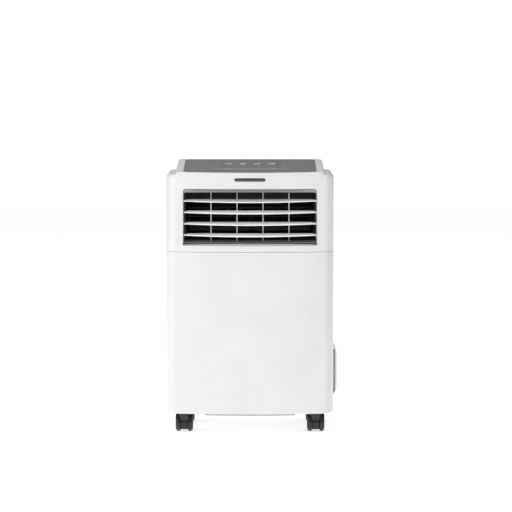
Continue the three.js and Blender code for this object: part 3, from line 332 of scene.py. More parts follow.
def lathe(name, axis, centre, profile, material, count=64):
    """A turned solid: profile is [radius, distance along the axis], from axis to axis."""
    rings = []
    for radius, along in profile:
        flat = round_ring(max(radius, 1e-6), count)
        ring = []
        for u, v in flat:
            local = {"x": (along, u, v), "y": (u, along, v), "z": (u, v, along)}[axis]
            ring.append(Vector(centre) + Vector(local))
        rings.append(ring)
    return skinned(name, rings, material)


def cylinder(axis, centre, radius, span, count=64):
    return lathe("bar", axis, centre, [(radius, span[0]), (radius, span[1])], SHELL, count)


def arc_points(cx, cy, radius, start, end, count):
    angles = np.linspace(start, end, count)
    return [(cx + radius * math.cos(a), cy + radius * math.sin(a)) for a in angles]


def quad_points(a, b, c, count):
    made = []
    for t in np.linspace(0, 1, count):
        made.append(
            tuple((1 - t) ** 2 * a[k] + 2 * t * (1 - t) * b[k] + t * t * c[k] for k in (0, 1))
        )
    return made


def rounded_rect(a0, a1, b0, b1, low, high, count=8):
    """Counter-clockwise outline with one radius below and one above."""
    quarter = math.pi / 2
    points = arc_points(a1 - low, b0 + low, low, -quarter, 0, count)
    points += arc_points(a1 - high, b1 - high, high, 0, quarter, count)
    points += arc_points(a0 + high, b1 - high, high, quarter, 2 * quarter, count)
    points += arc_points(a0 + low, b0 + low, low, 2 * quarter, 3 * quarter, count)
    points = np.array(points)
    apart = np.linalg.norm(points - np.roll(points, 1, axis=0), axis=1) > 1e-6
    return points[apart]


def prism_y(points, y0, y1):
    rings = [[(p[0], y, p[1]) for p in points] for y in (y0, y1)]
    return skinned("prism", rings, SHELL)


# ---------------------------------------------------------------- housing outlines

STEPS = {"front": 40, "corner": 9, "side": 14, "rear_corner": 12, "rear": 6}


def bow_at(x):
    return BOW * (x / FACE_HALF) ** 2


def front_part(half, corner, heading):
    """Half an outline from the middle of the bowed front and round its corner to a heading."""
    turn = half - corner
    y = FRONT + bow_at(turn)
    lean = math.atan(2 * BOW * turn / FACE_HALF**2)
    points = quad_points((0, FRONT), (turn / 2, FRONT), (turn, y), STEPS["front"])
    cx = turn - corner * math.sin(lean)
    cy = y + corner * math.cos(lean)
    start = lean - math.pi / 2
    return points + arc_points(cx, cy, corner, start, heading - math.pi / 2, STEPS["corner"])[1:]


def straight(a, b, count):
    return [tuple(np.array(a) + (np.array(b) - np.array(a)) * t) for t in np.linspace(0, 1, count)]


def close_outline(right):
    left = [(-x, y) for x, y in reversed(right[1:-1])]
    return np.array(right + left)


def housing_outline():
    right = front_part(FACE_HALF, FRONT_CORNER, SPLAY_HEADING)
    start = right[-1]
    knee = start[1] + (HALF - start[0]) * math.tan(SPLAY_HEADING)
    right += quad_points(start, (HALF, knee), (HALF, FRONT + SPLAY_RUN), STEPS["side"])[1:]
    inner = (HALF - REAR_CORNER, REAR - REAR_CORNER)
    right += arc_points(*inner, REAR_CORNER, 0, math.pi / 2, STEPS["rear_corner"])
    right += straight((HALF - REAR_CORNER, REAR), (0, REAR), STEPS["rear"])[1:]
    return close_outline(right)


def top_outline():
    """The raised top: it shares the front face and is narrower than the housing behind it."""
    right = front_part(TOP_HALF, TOP_CORNER, math.pi / 2)
    side = right[-1][0]
    turn = TOP_REAR - TOP_CORNER
    right += straight(right[-1], (side, turn - 1 * MM), 4 * STEPS["side"])[1:]
    right += arc_points(side - TOP_CORNER, turn, TOP_CORNER, 0, math.pi / 2, STEPS["rear_corner"])
    right += straight((side - TOP_CORNER, TOP_REAR), (0, TOP_REAR), STEPS["rear"])[1:]
    return close_outline(right)


def nearest_on(outline, points):
    """The nearest place on a closed outline to each point."""
    ahead = np.roll(outline, -1, axis=0) - outline
    found = []
    for point in points:
        along = ((point - outline) * ahead).sum(axis=1) / (ahead**2).sum(axis=1)
        places = outline + ahead * np.clip(along, 0, 1)[:, None]
        found.append(places[np.linalg.norm(places - point, axis=1).argmin()])
    return np.array(found)


def inset(points, distance):
    before = points - np.roll(points, 1, axis=0)
    after = np.roll(points, -1, axis=0) - points
    before /= np.linalg.norm(before, axis=1)[:, None]
    after /= np.linalg.norm(after, axis=1)[:, None]
    mitre = np.stack([-(before[:, 1] + after[:, 1]), before[:, 0] + after[:, 0]], axis=1)
    length = 1 + (before * after).sum(axis=1)
    return points + mitre * (distance / length)[:, None]




HOUSING = housing_outline()


def level_ring(points, shrink, level):
    """The outline, shrunk, at a height or at a height worked out from each point."""
    ring = inset(points, shrink)
    return [(MID + x, y, level(y) if callable(level) else level) for x, y in ring]


def slope_at(drop):
    return lambda y: FRONT_TOP + (y - FRONT) * SLOPE - drop


def rounding(radius, count, upper=True):
    """(inset, distance from the end) pairs over a rounded edge, from side to end."""
    made = []
    for t in np.linspace(0, math.pi / 2, count):
        made.append((radius * (1 - math.cos(t)), radius * (1 - math.sin(t))))
    return made if upper else list(reversed(made))


def heights(low, high, count):
    return list(np.linspace(low, high, count))[1:-1]


# ---------------------------------------------------------------- housing shells


def wall_band(name, z0, z1, round_low, round_high):
    """An upright wall all round between two levels, open above and below."""
    rings = [level_ring(HOUSING, shrink, z0 + rise) for shrink, rise in rounding(round_low, 5, False)]
    for z in heights(z0 + round_low, z1 - round_high, 8):
        rings.append(level_ring(HOUSING, 0, z))
    rings += [level_ring(HOUSING, shrink, z1 - drop) for shrink, drop in rounding(round_high, 4)]
    rings.append(level_ring(HOUSING, WALL, z1))
    rings.append(level_ring(HOUSING, WALL, z0))
    return skinned(name, rings, SHELL, closed=True)


def big(x=None, y=None, z=None):
    whole = (-2.0, 2.0)
    return block(x or whole, y or whole, z or whole)


def front_panel():
    made = wall_band("front_panel_shell", HEM, SEAM - JOINT / 2, HEM_ROUND, SEAM_ROUND)
    boolean(made, big(y=(PART_Y - JOINT / 2, 2)))
    soften(made, 0.5 * MM)
    finish_piece(made, "housing", "shell_white", "front_panel")


def rear_lower():
    made = wall_band("rear_casing_lower_shell", HEM, SEAM - JOINT / 2, HEM_ROUND, SEAM_ROUND)
    boolean(made, big(y=(-2, PART_Y + JOINT / 2)))
    grille_window(made, "lower_intake_grille")
    for node, gap in (("exhaust_spigot", 0.6), ("drain_plug", 0.6), ("cord_gland", 0.6)):
        x, z, radius = rear_hole(node)
        boolean(made, cylinder("y", (x, REAR, z), radius + gap * MM, (-0.02, 0.02), 72))
    soften(made, 0.5 * MM)
    finish_piece(made, "housing", "shell_white", "rear_casing_lower")


def grille_window(made, node):
    low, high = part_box(node)
    x = (low.x - JOINT, high.x + JOINT)
    z = (low.z - JOINT, high.z + JOINT)
    outline = rounded_rect(*x, *z, 1.2 * MM, 1.2 * MM, 4)
    boolean(made, prism_y(outline, REAR - 0.02, REAR + 0.02))


def rear_hole(node):
    """Centre and radius of a round piece that passes through the rear wall."""
    low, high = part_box(node)
    x = (low.x + high.x) / 2
    z = (low.z + high.z) / 2
    radius = {"exhaust_spigot": 65.5, "drain_plug": 8, "cord_gland": 9}[node] * MM
    return x, z, radius


def shoulder_rings(shrink, low):
    """Rings from a level up over the rounded shoulders and in to the raised top."""
    bend = SHOULDER - shrink - SHOULDER_ROUND
    rings = [level_ring(HOUSING, shrink, z) for z in np.linspace(low, bend, 6)]
    lower = inset(HOUSING, shrink)
    upper = nearest_on(inset(top_outline(), shrink), lower)
    reach = np.linalg.norm(upper - lower, axis=1)
    towards = (upper - lower) / np.maximum(reach, 1e-9)[:, None]
    turns = 9
    lift = 0.04 * MM
    for k in range(1, turns + 1):
        wanted = SHOULDER_ROUND * (1 - math.cos(k / turns * math.pi / 2))
        ring = []
        for point, way, room in zip(lower, towards, reach):
            inward = min(wanted, room)
            rise = math.sqrt(SHOULDER_ROUND**2 - (SHOULDER_ROUND - inward) ** 2)
            place = point + way * inward
            ring.append((MID + place[0], place[1], bend + rise + lift * k))
        rings.append(ring)
    rings.append([(MID + p[0], p[1], q[2] + lift) for p, q in zip(upper, rings[-1])])
    return rings


def top_rings(shrink, drop, low):
    """The shoulders, then the raised top up to its sloping face."""
    rings = shoulder_rings(shrink, low)
    upper = nearest_on(inset(top_outline(), shrink), inset(HOUSING, shrink))
    for inward, down in rounding(TOP_ROUND, 8):
        flat = nearest_on(inset(top_outline(), shrink + inward), upper)
        level = slope_at(drop + down)
        rings.append([(MID + x, y, level(y)) for x, y in flat])
    return rings


def rear_upper():
    z0 = SEAM + JOINT / 2
    rings = [level_ring(HOUSING, s, z0 + rise) for s, rise in rounding(SEAM_ROUND, 4, False)]
    rings += shoulder_rings(0, z0 + SEAM_ROUND)[1:]
    made = skinned("rear_casing_upper_shell", rings, SHELL)
    boolean(made, skinned("inner", shoulder_rings(WALL, z0 - 0.02), SHELL))
    boolean(made, big(y=(-2, PART_Y + JOINT / 2)))
    hole = 3 * MM
    boolean(
        made,
        big(
            x=(MID - TOP_HALF + hole, MID + TOP_HALF - hole),
            y=(-2, TOP_REAR - hole),
            z=(SHOULDER - 2 * SHOULDER_ROUND, 2),
        ),
    )
    grille_window(made, "upper_intake_grille")
    soften(made, 0.5 * MM)
    finish_piece(made, "housing", "shell_white", "rear_casing_upper")


def front_fascia():
    z0 = SEAM + JOINT / 2
    rings = [level_ring(HOUSING, s, z0 + rise) for s, rise in rounding(SEAM_ROUND, 4, False)]
    rings += top_rings(0, 0, z0 + SEAM_ROUND)[1:]
    made = skinned("front_fascia_shell", rings, SHELL)
    inner = skinned("inner", top_rings(WALL, TOP_WALL, z0 - 0.02), SHELL)
    boolean(made, inner)
    boolean(made, big(y=(PART_Y - JOINT / 2, 2), z=(-1, SHOULDER + JOINT)))
    vent = rounded_rect(
        MID - VENT_HALF, MID + VENT_HALF, VENT_BOTTOM, VENT_TOP, 2.5 * MM, VENT_CORNER, 10
    )
    boolean(made, prism_y(vent, FRONT - 0.02, PART_Y))
    low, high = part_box("receiver_lens")
    flange = 2 * MM - 0.4 * MM
    slot = (low.x + flange, high.x - flange, low.z + flange, high.z - flange)
    radius = (slot[3] - slot[2]) / 2 - 0.01 * MM
    boolean(made, prism_y(rounded_rect(*slot, radius, radius, 10), FRONT - 0.02, PART_Y))
    recess = panel_solid("recess", -JOINT, -PANEL_THICK - 0.4 * MM, 0.05)
    boolean(made, recess)
    boolean(made, panel_solid("well", 8 * MM, -0.1, 0.05))
    soften(made, 0.9 * MM, 3)
    finish_piece(made, "housing", "shell_white", "front_fascia")
    sill()


def sill():
    """The sloping lower lip of the outlet, from the opening back to the outlet frame."""
    count = 41
    half_width = VENT_HALF + 1.0 * MM
    thick = 2 * MM
    rings = []
    for x in np.linspace(-half_width, half_width, count):
        y0 = FRONT + bow_at(x) + 0.8 * MM
        y1 = FRONT + SILL_RUN
        lead = VENT_BOTTOM - 0.15 * MM
        tail = VENT_BOTTOM + SILL_RISE
        middle = (y0 + y1) / 2
        crown = (lead + tail) / 2 + 0.9 * MM
        rings.append(
            [
                (MID + x, y0, lead - thick),
                (MID + x, y0, lead),
                (MID + x, middle, crown),
                (MID + x, y1, tail),
                (MID + x, y1, tail - thick),
                (MID + x, middle, crown - thick),
            ]
        )
    made = skinned("outlet_sill", rings, SHELL)
    soften(made, 0.4 * MM)
    finish_piece(made, "housing", "shell_white")


# ---------------------------------------------------------------- control panel

PANEL_WIDTH = 326 * MM
PANEL_DEPTH = 256 * MM
PANEL_THICK = 2 * MM
PANEL_FRONT = 6 * MM
PANEL_CORNER = 12 * MM
OVERLAY_WIDTH = 140 * MM
OVERLAY_DEPTH = 148 * MM
OVERLAY_FRONT = 70 * MM
KEY_SIZE = (24 * MM, 30 * MM)
KEY_PITCH = 36 * MM
KEY_BACK = PANEL_FRONT + 165 * MM
SMALL_RADIUS = 5 * MM
SMALL_SPREAD = 85 * MM
SMALL_BACK = PANEL_FRONT + 82 * MM

SLOPE_FRAME = Matrix.Translation((MID, FRONT, FRONT_TOP)) @ Matrix.Rotation(SLOPE_ANGLE, 4, "X")


def on_slope(made):
    made.data.transform(SLOPE_FRAME)
    return made


def panel_outline():
    edge = PANEL_WIDTH / 2
    turn = edge - PANEL_CORNER
    back = PANEL_FRONT + PANEL_DEPTH
    right = quad_points((0, PANEL_FRONT), (turn / 2, PANEL_FRONT), (turn, PANEL_FRONT + bow_at(turn)), 20)
    corner_y = PANEL_FRONT + bow_at(edge)
    right += quad_points(right[-1], (edge, corner_y), (edge, corner_y + PANEL_CORNER), 10)[1:]
    right += straight((edge, corner_y + PANEL_CORNER), (edge, back - PANEL_CORNER), 8)[1:]
    right += arc_points(turn, back - PANEL_CORNER, PANEL_CORNER, 0, math.pi / 2, 10)[1:]
    right += straight((turn, back), (0, back), 8)[1:]
    return close_outline(right)


def panel_solid(name, shrink, low, high, material=None):
    ring = inset(panel_outline(), shrink)
    rings = [[(x, y, z) for x, y in ring] for z in (low, high)]
    return on_slope(skinned(name, rings, material or SHELL))


def edged_plate(name, ring, low, high, edge, material):
    """A plate whose upper edge is rounded."""
    rings = [[(x, y, low) for x, y in ring]]
    for inward, down in rounding(edge, 4):
        rings.append([(x, y, high - down) for x, y in inset(ring, inward)])
    return on_slope(skinned(name, rings, material))


def key_outline(i, grow=0.0):
    x = (i - 1.5) * KEY_PITCH
    a = KEY_SIZE[0] / 2 + grow
    b = KEY_SIZE[1] / 2 + grow
    return rounded_rect(x - a, x + a, KEY_BACK - b, KEY_BACK + b, 3 * MM + grow, 3 * MM + grow, 7)


def small_outline(side, grow=0.0):
    return np.array(
        arc_points(side * SMALL_SPREAD, SMALL_BACK, SMALL_RADIUS + grow, 0, 2 * math.pi, 41)[:-1]
    )


def overlay_outline():
    edge = OVERLAY_WIDTH / 2
    start = PANEL_FRONT + OVERLAY_FRONT
    right = quad_points((0, start), (edge / 2, start), (edge, start + 8 * MM), 16)
    right += straight(right[-1], (edge, start + OVERLAY_DEPTH), 6)[1:]
    right += straight((edge, start + OVERLAY_DEPTH), (0, start + OVERLAY_DEPTH), 6)[1:]
    return close_outline(right)


def hole_through(made, ring):
    rings = [[(x, y, z) for x, y in ring] for z in (-0.02, 0.02)]
    boolean(made, on_slope(skinned("hole", rings, SHELL)))


def control_panel():
    gap = 0.4 * MM
    plate = edged_plate("control_panel_plate", panel_outline(), -PANEL_THICK, 0.0, 0.6 * MM, PANEL)
    cover = edged_plate("display_overlay_plate", overlay_outline(), -0.9 * MM, 0.25 * MM, 0.25 * MM, OVERLAY)
    rings = [[(x, y, z) for x, y in inset(overlay_outline(), -gap)] for z in (-1.3 * MM, 0.01)]
    boolean(plate, on_slope(skinned("pocket", rings, SHELL)))
    for i in range(4):
        hole_through(plate, key_outline(i, gap))
        hole_through(cover, key_outline(i, gap))
    for side in (-1, 1):
        hole_through(plate, small_outline(side, gap))
    soften(plate, 0)
    soften(cover, 0)
    finish_piece(plate, "housing", "panel_grey", "control_panel")
    finish_piece(cover, "housing", "overlay_grey", "display_overlay")
    trim_line()


def trim_line():
    """The thin pale line printed along the front arch of the overlay."""
    edge = OVERLAY_WIDTH / 2
    start = PANEL_FRONT + OVERLAY_FRONT
    curve = quad_points((-edge, start + 8 * MM), (0, start - 8 * MM), (edge, start + 8 * MM), 40)
    rings = []
    for x, y in curve:
        rings.append(
            [
                (x, y - 2.6 * MM, -0.05 * MM),
                (x, y - 1.2 * MM, -0.05 * MM),
                (x, y - 1.4 * MM, 0.12 * MM),
                (x, y - 2.4 * MM, 0.12 * MM),
            ]
        )
    made = on_slope(skinned("overlay_trim", rings, MARK))
    finish_piece(made, "housing", "key_grey")


def stroke(points, width, low, high):
    """A flat raised line through points, as verts and faces."""
    verts = []
    faces = []
    count = len(points)
    closed = points[0] == points[-1]
    for i, (x, y) in enumerate(points):
        ahead = points[min(i + 1, count - 1)] if not (closed and i == count - 1) else points[1]
        back = points[max(i - 1, 0)] if not (closed and i == 0) else points[-2]
        dx = ahead[0] - back[0]
        dy = ahead[1] - back[1]
        length = math.hypot(dx, dy) or 1
        nx = -dy / length * width / 2
        ny = dx / length * width / 2
        verts += [(x + nx, y + ny, low), (x - nx, y - ny, low)]
        verts += [(x - nx, y - ny, high), (x + nx, y + ny, high)]
    for i in range(count - 1):
        a = 4 * i
        for k in range(4):
            j = (k + 1) % 4
            faces.append((a + k, a + j, a + 4 + j, a + 4 + k))
    faces.append((3, 2, 1, 0))
    last = 4 * (count - 1)
    faces.append((last, last + 1, last + 2, last + 3))
    return verts, faces


def symbol(name, lines, body, top, width=2.6 * MM):
    verts = []
    faces = []
    for line in lines:
        more, quads = stroke(line, width, top - 0.1 * MM, top + 0.12 * MM)
        faces += [tuple(k + len(verts) for k in quad) for quad in quads]
        verts += more
    made = on_slope(from_data(name, verts, faces, MARK))
    fix_normals(made)
    finish_piece(made, body, "key_grey")


def ring_line(x, y, radius, start, end, count=24):
    return arc_points(x, y, radius, start, end, count)


def symbols():
    """Plain pictograms: power, snowflake, fan and clock, with a dot on each small key."""
    top = 0.5 * MM
    radius = 7.5 * MM
    xs = [(i - 1.5) * KEY_PITCH for i in range(4)]
    power = [
        ring_line(xs[0], KEY_BACK, radius, math.radians(125), math.radians(415)),
        [(xs[0], KEY_BACK + 1 * MM), (xs[0], KEY_BACK + radius + 1.5 * MM)],
    ]
    symbol("mark_power", power, "button_power", top)
    flake = []
    for k in range(3):
        a = math.radians(30 + 60 * k)
        dx, dy = radius * 1.2 * math.cos(a), radius * 1.2 * math.sin(a)
        flake.append([(xs[1] - dx, KEY_BACK - dy), (xs[1] + dx, KEY_BACK + dy)])
    symbol("mark_mode", flake, "button_mode", top)
    blades = []
    for k in range(3):
        a = math.radians(90 + 120 * k)
        cx, cy = xs[2] + radius * 0.55 * math.cos(a), KEY_BACK + radius * 0.55 * math.sin(a)
        blades.append(ring_line(cx, cy, radius * 0.5, a - 2.4, a + 1.2, 12))
    symbol("mark_fan", blades, "button_fan", top)
    clock = [
        ring_line(xs[3], KEY_BACK, radius, 0.0001, 2 * math.pi - 0.0001, 32),
        [(xs[3], KEY_BACK + radius * 0.6), (xs[3], KEY_BACK), (xs[3] + radius * 0.5, KEY_BACK)],
    ]
    symbol("mark_timer", clock, "button_timer", top)
    for side, key in ((-1, "sleep"), (1, "swing")):
        x = side * SMALL_SPREAD
        dot = [ring_line(x, SMALL_BACK, 1.6 * MM, 0.0001, 2 * math.pi - 0.0001, 16)]
        symbol(f"mark_{key}", dot, f"button_{key}", top, 2.4 * MM)


def keys():
    for i, name in enumerate(("button_power", "button_mode", "button_fan", "button_timer")):
        made = edged_plate(f"{name}_cap", key_outline(i), -6 * MM, 0.5 * MM, 0.5 * MM, KEY)
        soften(made, 0)
        finish_piece(made, name, "key_grey", name)
    for side, name in ((-1, "button_sleep"), (1, "button_swing")):
        made = edged_plate(f"{name}_cap", small_outline(side), -6 * MM, 0.5 * MM, 0.5 * MM, KEY)
        soften(made, 0)
        finish_piece(made, name, "key_grey", name)


def receiver_lens():
    low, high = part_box("receiver_lens")
    lip = 2 * MM
    radius = (high.z - low.z) / 2 - lip
    outline = rounded_rect(low.x + lip, high.x - lip, low.z + lip, high.z - lip, radius, radius, 12)
    rings = []
    for y, shrink in ((2.6, 0), (1.6, 0), (1.1, 0.25), (0.9, 0.8)):
        ring = inset(outline, shrink * MM)
        rings.append([(p[0], FRONT + bow_at(p[0] - MID) + y * MM, p[1]) for p in ring])
    made = skinned("receiver_lens_window", rings, LENS)
    soften(made, 0)
    finish_piece(made, "housing", "lens_smoke", "receiver_lens")


# ---------------------------------------------------------------- air outlet


def outlet_frame():
    low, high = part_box("outlet_frame")
    inner_half = (high.x - low.x) / 2 - 5 * MM
    frame_top = VENT_TOP - 9 * MM
    frame_floor = VENT_BOTTOM + SILL_RISE + 1 * MM
    rear_y = high.y
    count = 10
    inner = rounded_rect(MID - inner_half, MID + inner_half, frame_floor, frame_top, 1 * MM, 6 * MM, count)
    outer = rounded_rect(
        low.x, high.x, frame_floor - 5 * MM, VENT_TOP + 5 * MM, 2 * MM, 9 * MM, count
    )

    def face(points, back):
        return [(p[0], FRONT + bow_at(p[0] - MID) + WALL + back, p[1]) for p in points]

    def flat(points, y):
        return [(p[0], y, p[1]) for p in points]

    wider = inner + (outer - inner) * 0.12
    rings = [
        face(outer, 0.4 * MM),
        face(wider, 0.4 * MM),
        face(inner + (outer - inner) * 0.04, 0.7 * MM),
        face(inner, 1.6 * MM),
        flat(inner, rear_y),
        flat(outer, rear_y),
    ]
    made = skinned("outlet_frame_ring", rings, FRAME_SHADED_GREY, closed=True)
    boolean(
        made,
        big(y=(-2, FRONT + SILL_RUN + 0.6 * MM), z=(-2, VENT_BOTTOM + SILL_RISE + 0.4 * MM)),
    )
    soften(made, 0.4 * MM)
    finish_piece(made, "housing", "frame_grey", "outlet_frame")


LOUVER_TILT = math.radians(11)
LOUVER_CHORD = 31 * MM
LOUVER_THICK = 2.6 * MM
FRAME_TOP = VENT_TOP - 9 * MM
LOUVER_Y = FRONT + 8 * MM + LOUVER_CHORD / 2
LOUVER_TOP_Z = FRAME_TOP - 21.5 * MM
LOUVER_PITCH = 28 * MM
LOUVER_HALF = VENT_HALF - 3 * MM


def blade_outline():
    lead = -LOUVER_CHORD / 2
    tail = LOUVER_CHORD / 2
    half = LOUVER_HALF
    right = quad_points((0, lead), (half / 2, lead), (half - 1 * MM, lead + bow_at(half)), 26)
    right += [(half, lead + bow_at(half) + 1 * MM)]
    right += straight(right[-1], (half, tail - 12 * MM), 5)[1:]
    right += quad_points((half, tail - 12 * MM), (half, tail - 1 * MM), (half - 16 * MM, tail), 12)[1:]
    right += straight((half - 16 * MM, tail), (0, tail), 10)[1:]
    return close_outline(right)


def louvers():
    outline = blade_outline()
    radius = LOUVER_THICK / 2
    section = []
    for t in np.linspace(-math.pi / 2, math.pi / 2, 9):
        section.append((radius * (1 - math.cos(t)), radius * math.sin(t)))
    turn = Matrix.Rotation(LOUVER_TILT, 4, "X")
    for i in range(4):
        z = LOUVER_TOP_Z - i * LOUVER_PITCH
        rings = [[(x, y, level) for x, y in inset(outline, shrink)] for shrink, level in section]
        made = skinned(f"louver_{i + 1}_blade", rings, LOUVER_LIT)
        pins = []
        for side in (-1, 1):
            pins.append((side * (LOUVER_HALF - 2 * MM), side * (LOUVER_HALF + 5.5 * MM)))
        made.data.transform(Matrix.Translation((MID, LOUVER_Y, z)) @ turn)
        soften(made, 0)
        body = f"louver_{i + 1}"
        finish_piece(made, body, "louver_white", body)
        for k, span in enumerate(pins):
            pin = cylinder("x", (MID, LOUVER_Y, z), 2 * MM, sorted(span), 24)
            pin.name = f"louver_{i + 1}_pin_{k + 1}"
            pin.data.materials[0] = LOUVER_LIT
            soften(pin, 0.3 * MM)
            finish_piece(pin, body, "louver_white")


def vanes():
    chord = 28 * MM
    thick = 2.5 * MM
    y = LOUVER_Y + LOUVER_CHORD / 2 + chord / 2 + 12 * MM
    low = VENT_BOTTOM + SILL_RISE + 2.5 * MM
    high = FRAME_TOP - 1.5 * MM
    for i in range(4):
        x = MID + (i - 1.5) * 64 * MM
        outline = rounded_rect(
            x - thick / 2, x + thick / 2, y - chord / 2, y + chord / 2, 1.1 * MM, 1.1 * MM, 6
        )
        rings = [[(p[0], p[1], low) for p in inset(outline, 0.4 * MM)]]
        for z in np.linspace(low + 0.5 * MM, high - 0.5 * MM, 5):
            rings.append([(p[0], p[1], z) for p in outline])
        rings.append([(p[0], p[1], high) for p in inset(outline, 0.4 * MM)])
        body = f"vane_{i + 1}"
        made = skinned(f"{body}_blade", rings, LOUVER_LIT)
        soften(made, 0)
        finish_piece(made, body, "louver_white", body)
        for k, span in enumerate(((low - 4 * MM, low + 1 * MM), (high - 1 * MM, high + 3.5 * MM))):
            pin = cylinder("z", (x, y, 0), 2 * MM, span, 24)
            pin.name = f"{body}_pin_{k + 1}"
            pin.data.materials[0] = LOUVER_LIT
            soften(pin, 0.3 * MM)
            finish_piece(pin, body, "louver_white")


# ---------------------------------------------------------------- casters


WHEEL_WIDTH = 12 * MM
CASTER_TRAIL = 12 * MM
WELL_DEPTH = 4.2 * MM  # how far the drip well hangs below the pan


def casters():
    for name in ("front_left", "front_right", "rear_left", "rear_right"):
        wheels(name)
        fork(name)


def wheels(name):
    body = f"caster_wheels_{name}"
    low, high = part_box(body)
    centre = (low + high) / 2
    radius = (high.z - low.z) / 2
    outer = (high.x - low.x) / 2
    inner = outer - WHEEL_WIDTH
    bulge = inner + 5 * MM
    pieces = []
    for side, label in ((-1, "left"), (1, "right")):
        profile = [(0, inner), (radius - 4 * MM, inner), (radius - 0.8 * MM, inner + 0.2 * MM)]
        profile += [(radius, inner + 1.2 * MM), (radius, bulge)]
        dome = arc_points(bulge, radius - 8 * MM, 8 * MM, math.pi / 2, math.radians(12), 9)
        profile += [(r, bulge + (a - bulge) * (outer - bulge) / (8 * MM)) for a, r in dome]
        profile += [(radius - 9 * MM, outer), (radius - 11 * MM, outer - 0.2 * MM)]
        profile += [(radius - 11.5 * MM, outer - 0.9 * MM)]
        profile += [(3 * MM, outer - 0.9 * MM), (0, outer - 0.9 * MM)]
        placed = [(r, side * a) for r, a in profile]
        made = lathe(f"{body}_{label}", "x", (centre.x, centre.y, centre.z), placed, TREAD, 72)
        soften(made, 0)
        pieces.append(made)
    axle = cylinder("x", tuple(centre), 3 * MM, (-outer + 3 * MM, outer - 3 * MM), 32)
    axle.name = f"{body}_axle"
    axle.data.materials[0] = STEEL
    soften(axle, 0)
    finish_piece(pieces[0], body, "caster_tread", body)
    finish_piece(pieces[1], body, "caster_tread")
    finish_piece(axle, body, "black_plastic")


def fork(name):
    """The hood: a core between the wheels, a curved fender over them and the swivel stem."""
    body = f"caster_fork_{name}"
    low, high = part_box(f"caster_wheels_{name}")
    axle = (low + high) / 2
    radius = (high.z - low.z) / 2
    core_half = (high.x - low.x) / 2 - WHEEL_WIDTH - 0.4 * MM
    stem = Vector((axle.x, axle.y - CASTER_TRAIL, 0))
    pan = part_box("base_pan")[0].z + WELL_DEPTH
    disc = radius - 4 * MM
    sweep = np.linspace(math.radians(-205), math.radians(25), 40)
    side = [(math.cos(a) * disc, math.sin(a) * disc) for a in sweep]
    side += [(disc + 1.5 * MM, radius * 0.9), (disc - 3 * MM, radius + 2.4 * MM)]
    side += [(-disc - 2 * MM, radius + 2.4 * MM)]
    section = np.array([(axle.y + a, axle.z + b) for a, b in side])
    rings = []
    flat = core_half - 0.8 * MM
    for x, shrink in ((-core_half, 0.8), (-flat, 0), (flat, 0), (core_half, 0.8)):
        middle = section.mean(axis=0)
        ring = middle + (section - middle) * (1 - shrink * MM / disc)
        rings.append([(axle.x + x, p[0], p[1]) for p in ring])
    core = skinned(f"{body}_core", rings, BLACK)
    soften(core, 0)
    fender_rings = []
    gap = 1.2 * MM
    thick = 2.2 * MM
    reach = core_half + 12 * MM
    for a in np.linspace(math.radians(24), math.radians(156), 31):
        ca, sa = math.cos(a), math.sin(a)
        ring = []
        for x, r in (
            (-reach, radius + gap),
            (-reach - 0.3 * MM, radius + gap + thick * 0.5),
            (-reach + 1.2 * MM, radius + gap + thick * 0.92),
            (-reach + 4 * MM, radius + gap + thick),
            (reach - 4 * MM, radius + gap + thick),
            (reach - 1.2 * MM, radius + gap + thick * 0.92),
            (reach + 0.3 * MM, radius + gap + thick * 0.5),
            (reach, radius + gap),
        ):
            ring.append((axle.x + x, axle.y + r * ca, axle.z + r * sa))
        fender_rings.append(ring)
    fender = skinned(f"{body}_fender", fender_rings, BLACK)
    soften(fender, 0.5 * MM)
    top = pan - 0.6 * MM
    profile = [(0, radius + 10 * MM), (13 * MM, radius + 10 * MM), (13 * MM, top - 1 * MM), (12 * MM, top)]
    profile += [(5 * MM, top), (5 * MM, top + 11 * MM), (4 * MM, top + 12 * MM), (0, top + 12 * MM)]
    swivel = lathe(f"{body}_stem", "z", (stem.x, stem.y, 0), profile, BLACK, 48)
    soften(swivel, 0)
    finish_piece(core, body, "black_plastic", body)
    finish_piece(fender, body, "black_plastic")
    finish_piece(swivel, body, "black_plastic")


# ---------------------------------------------------------------- base, rear and side fittings


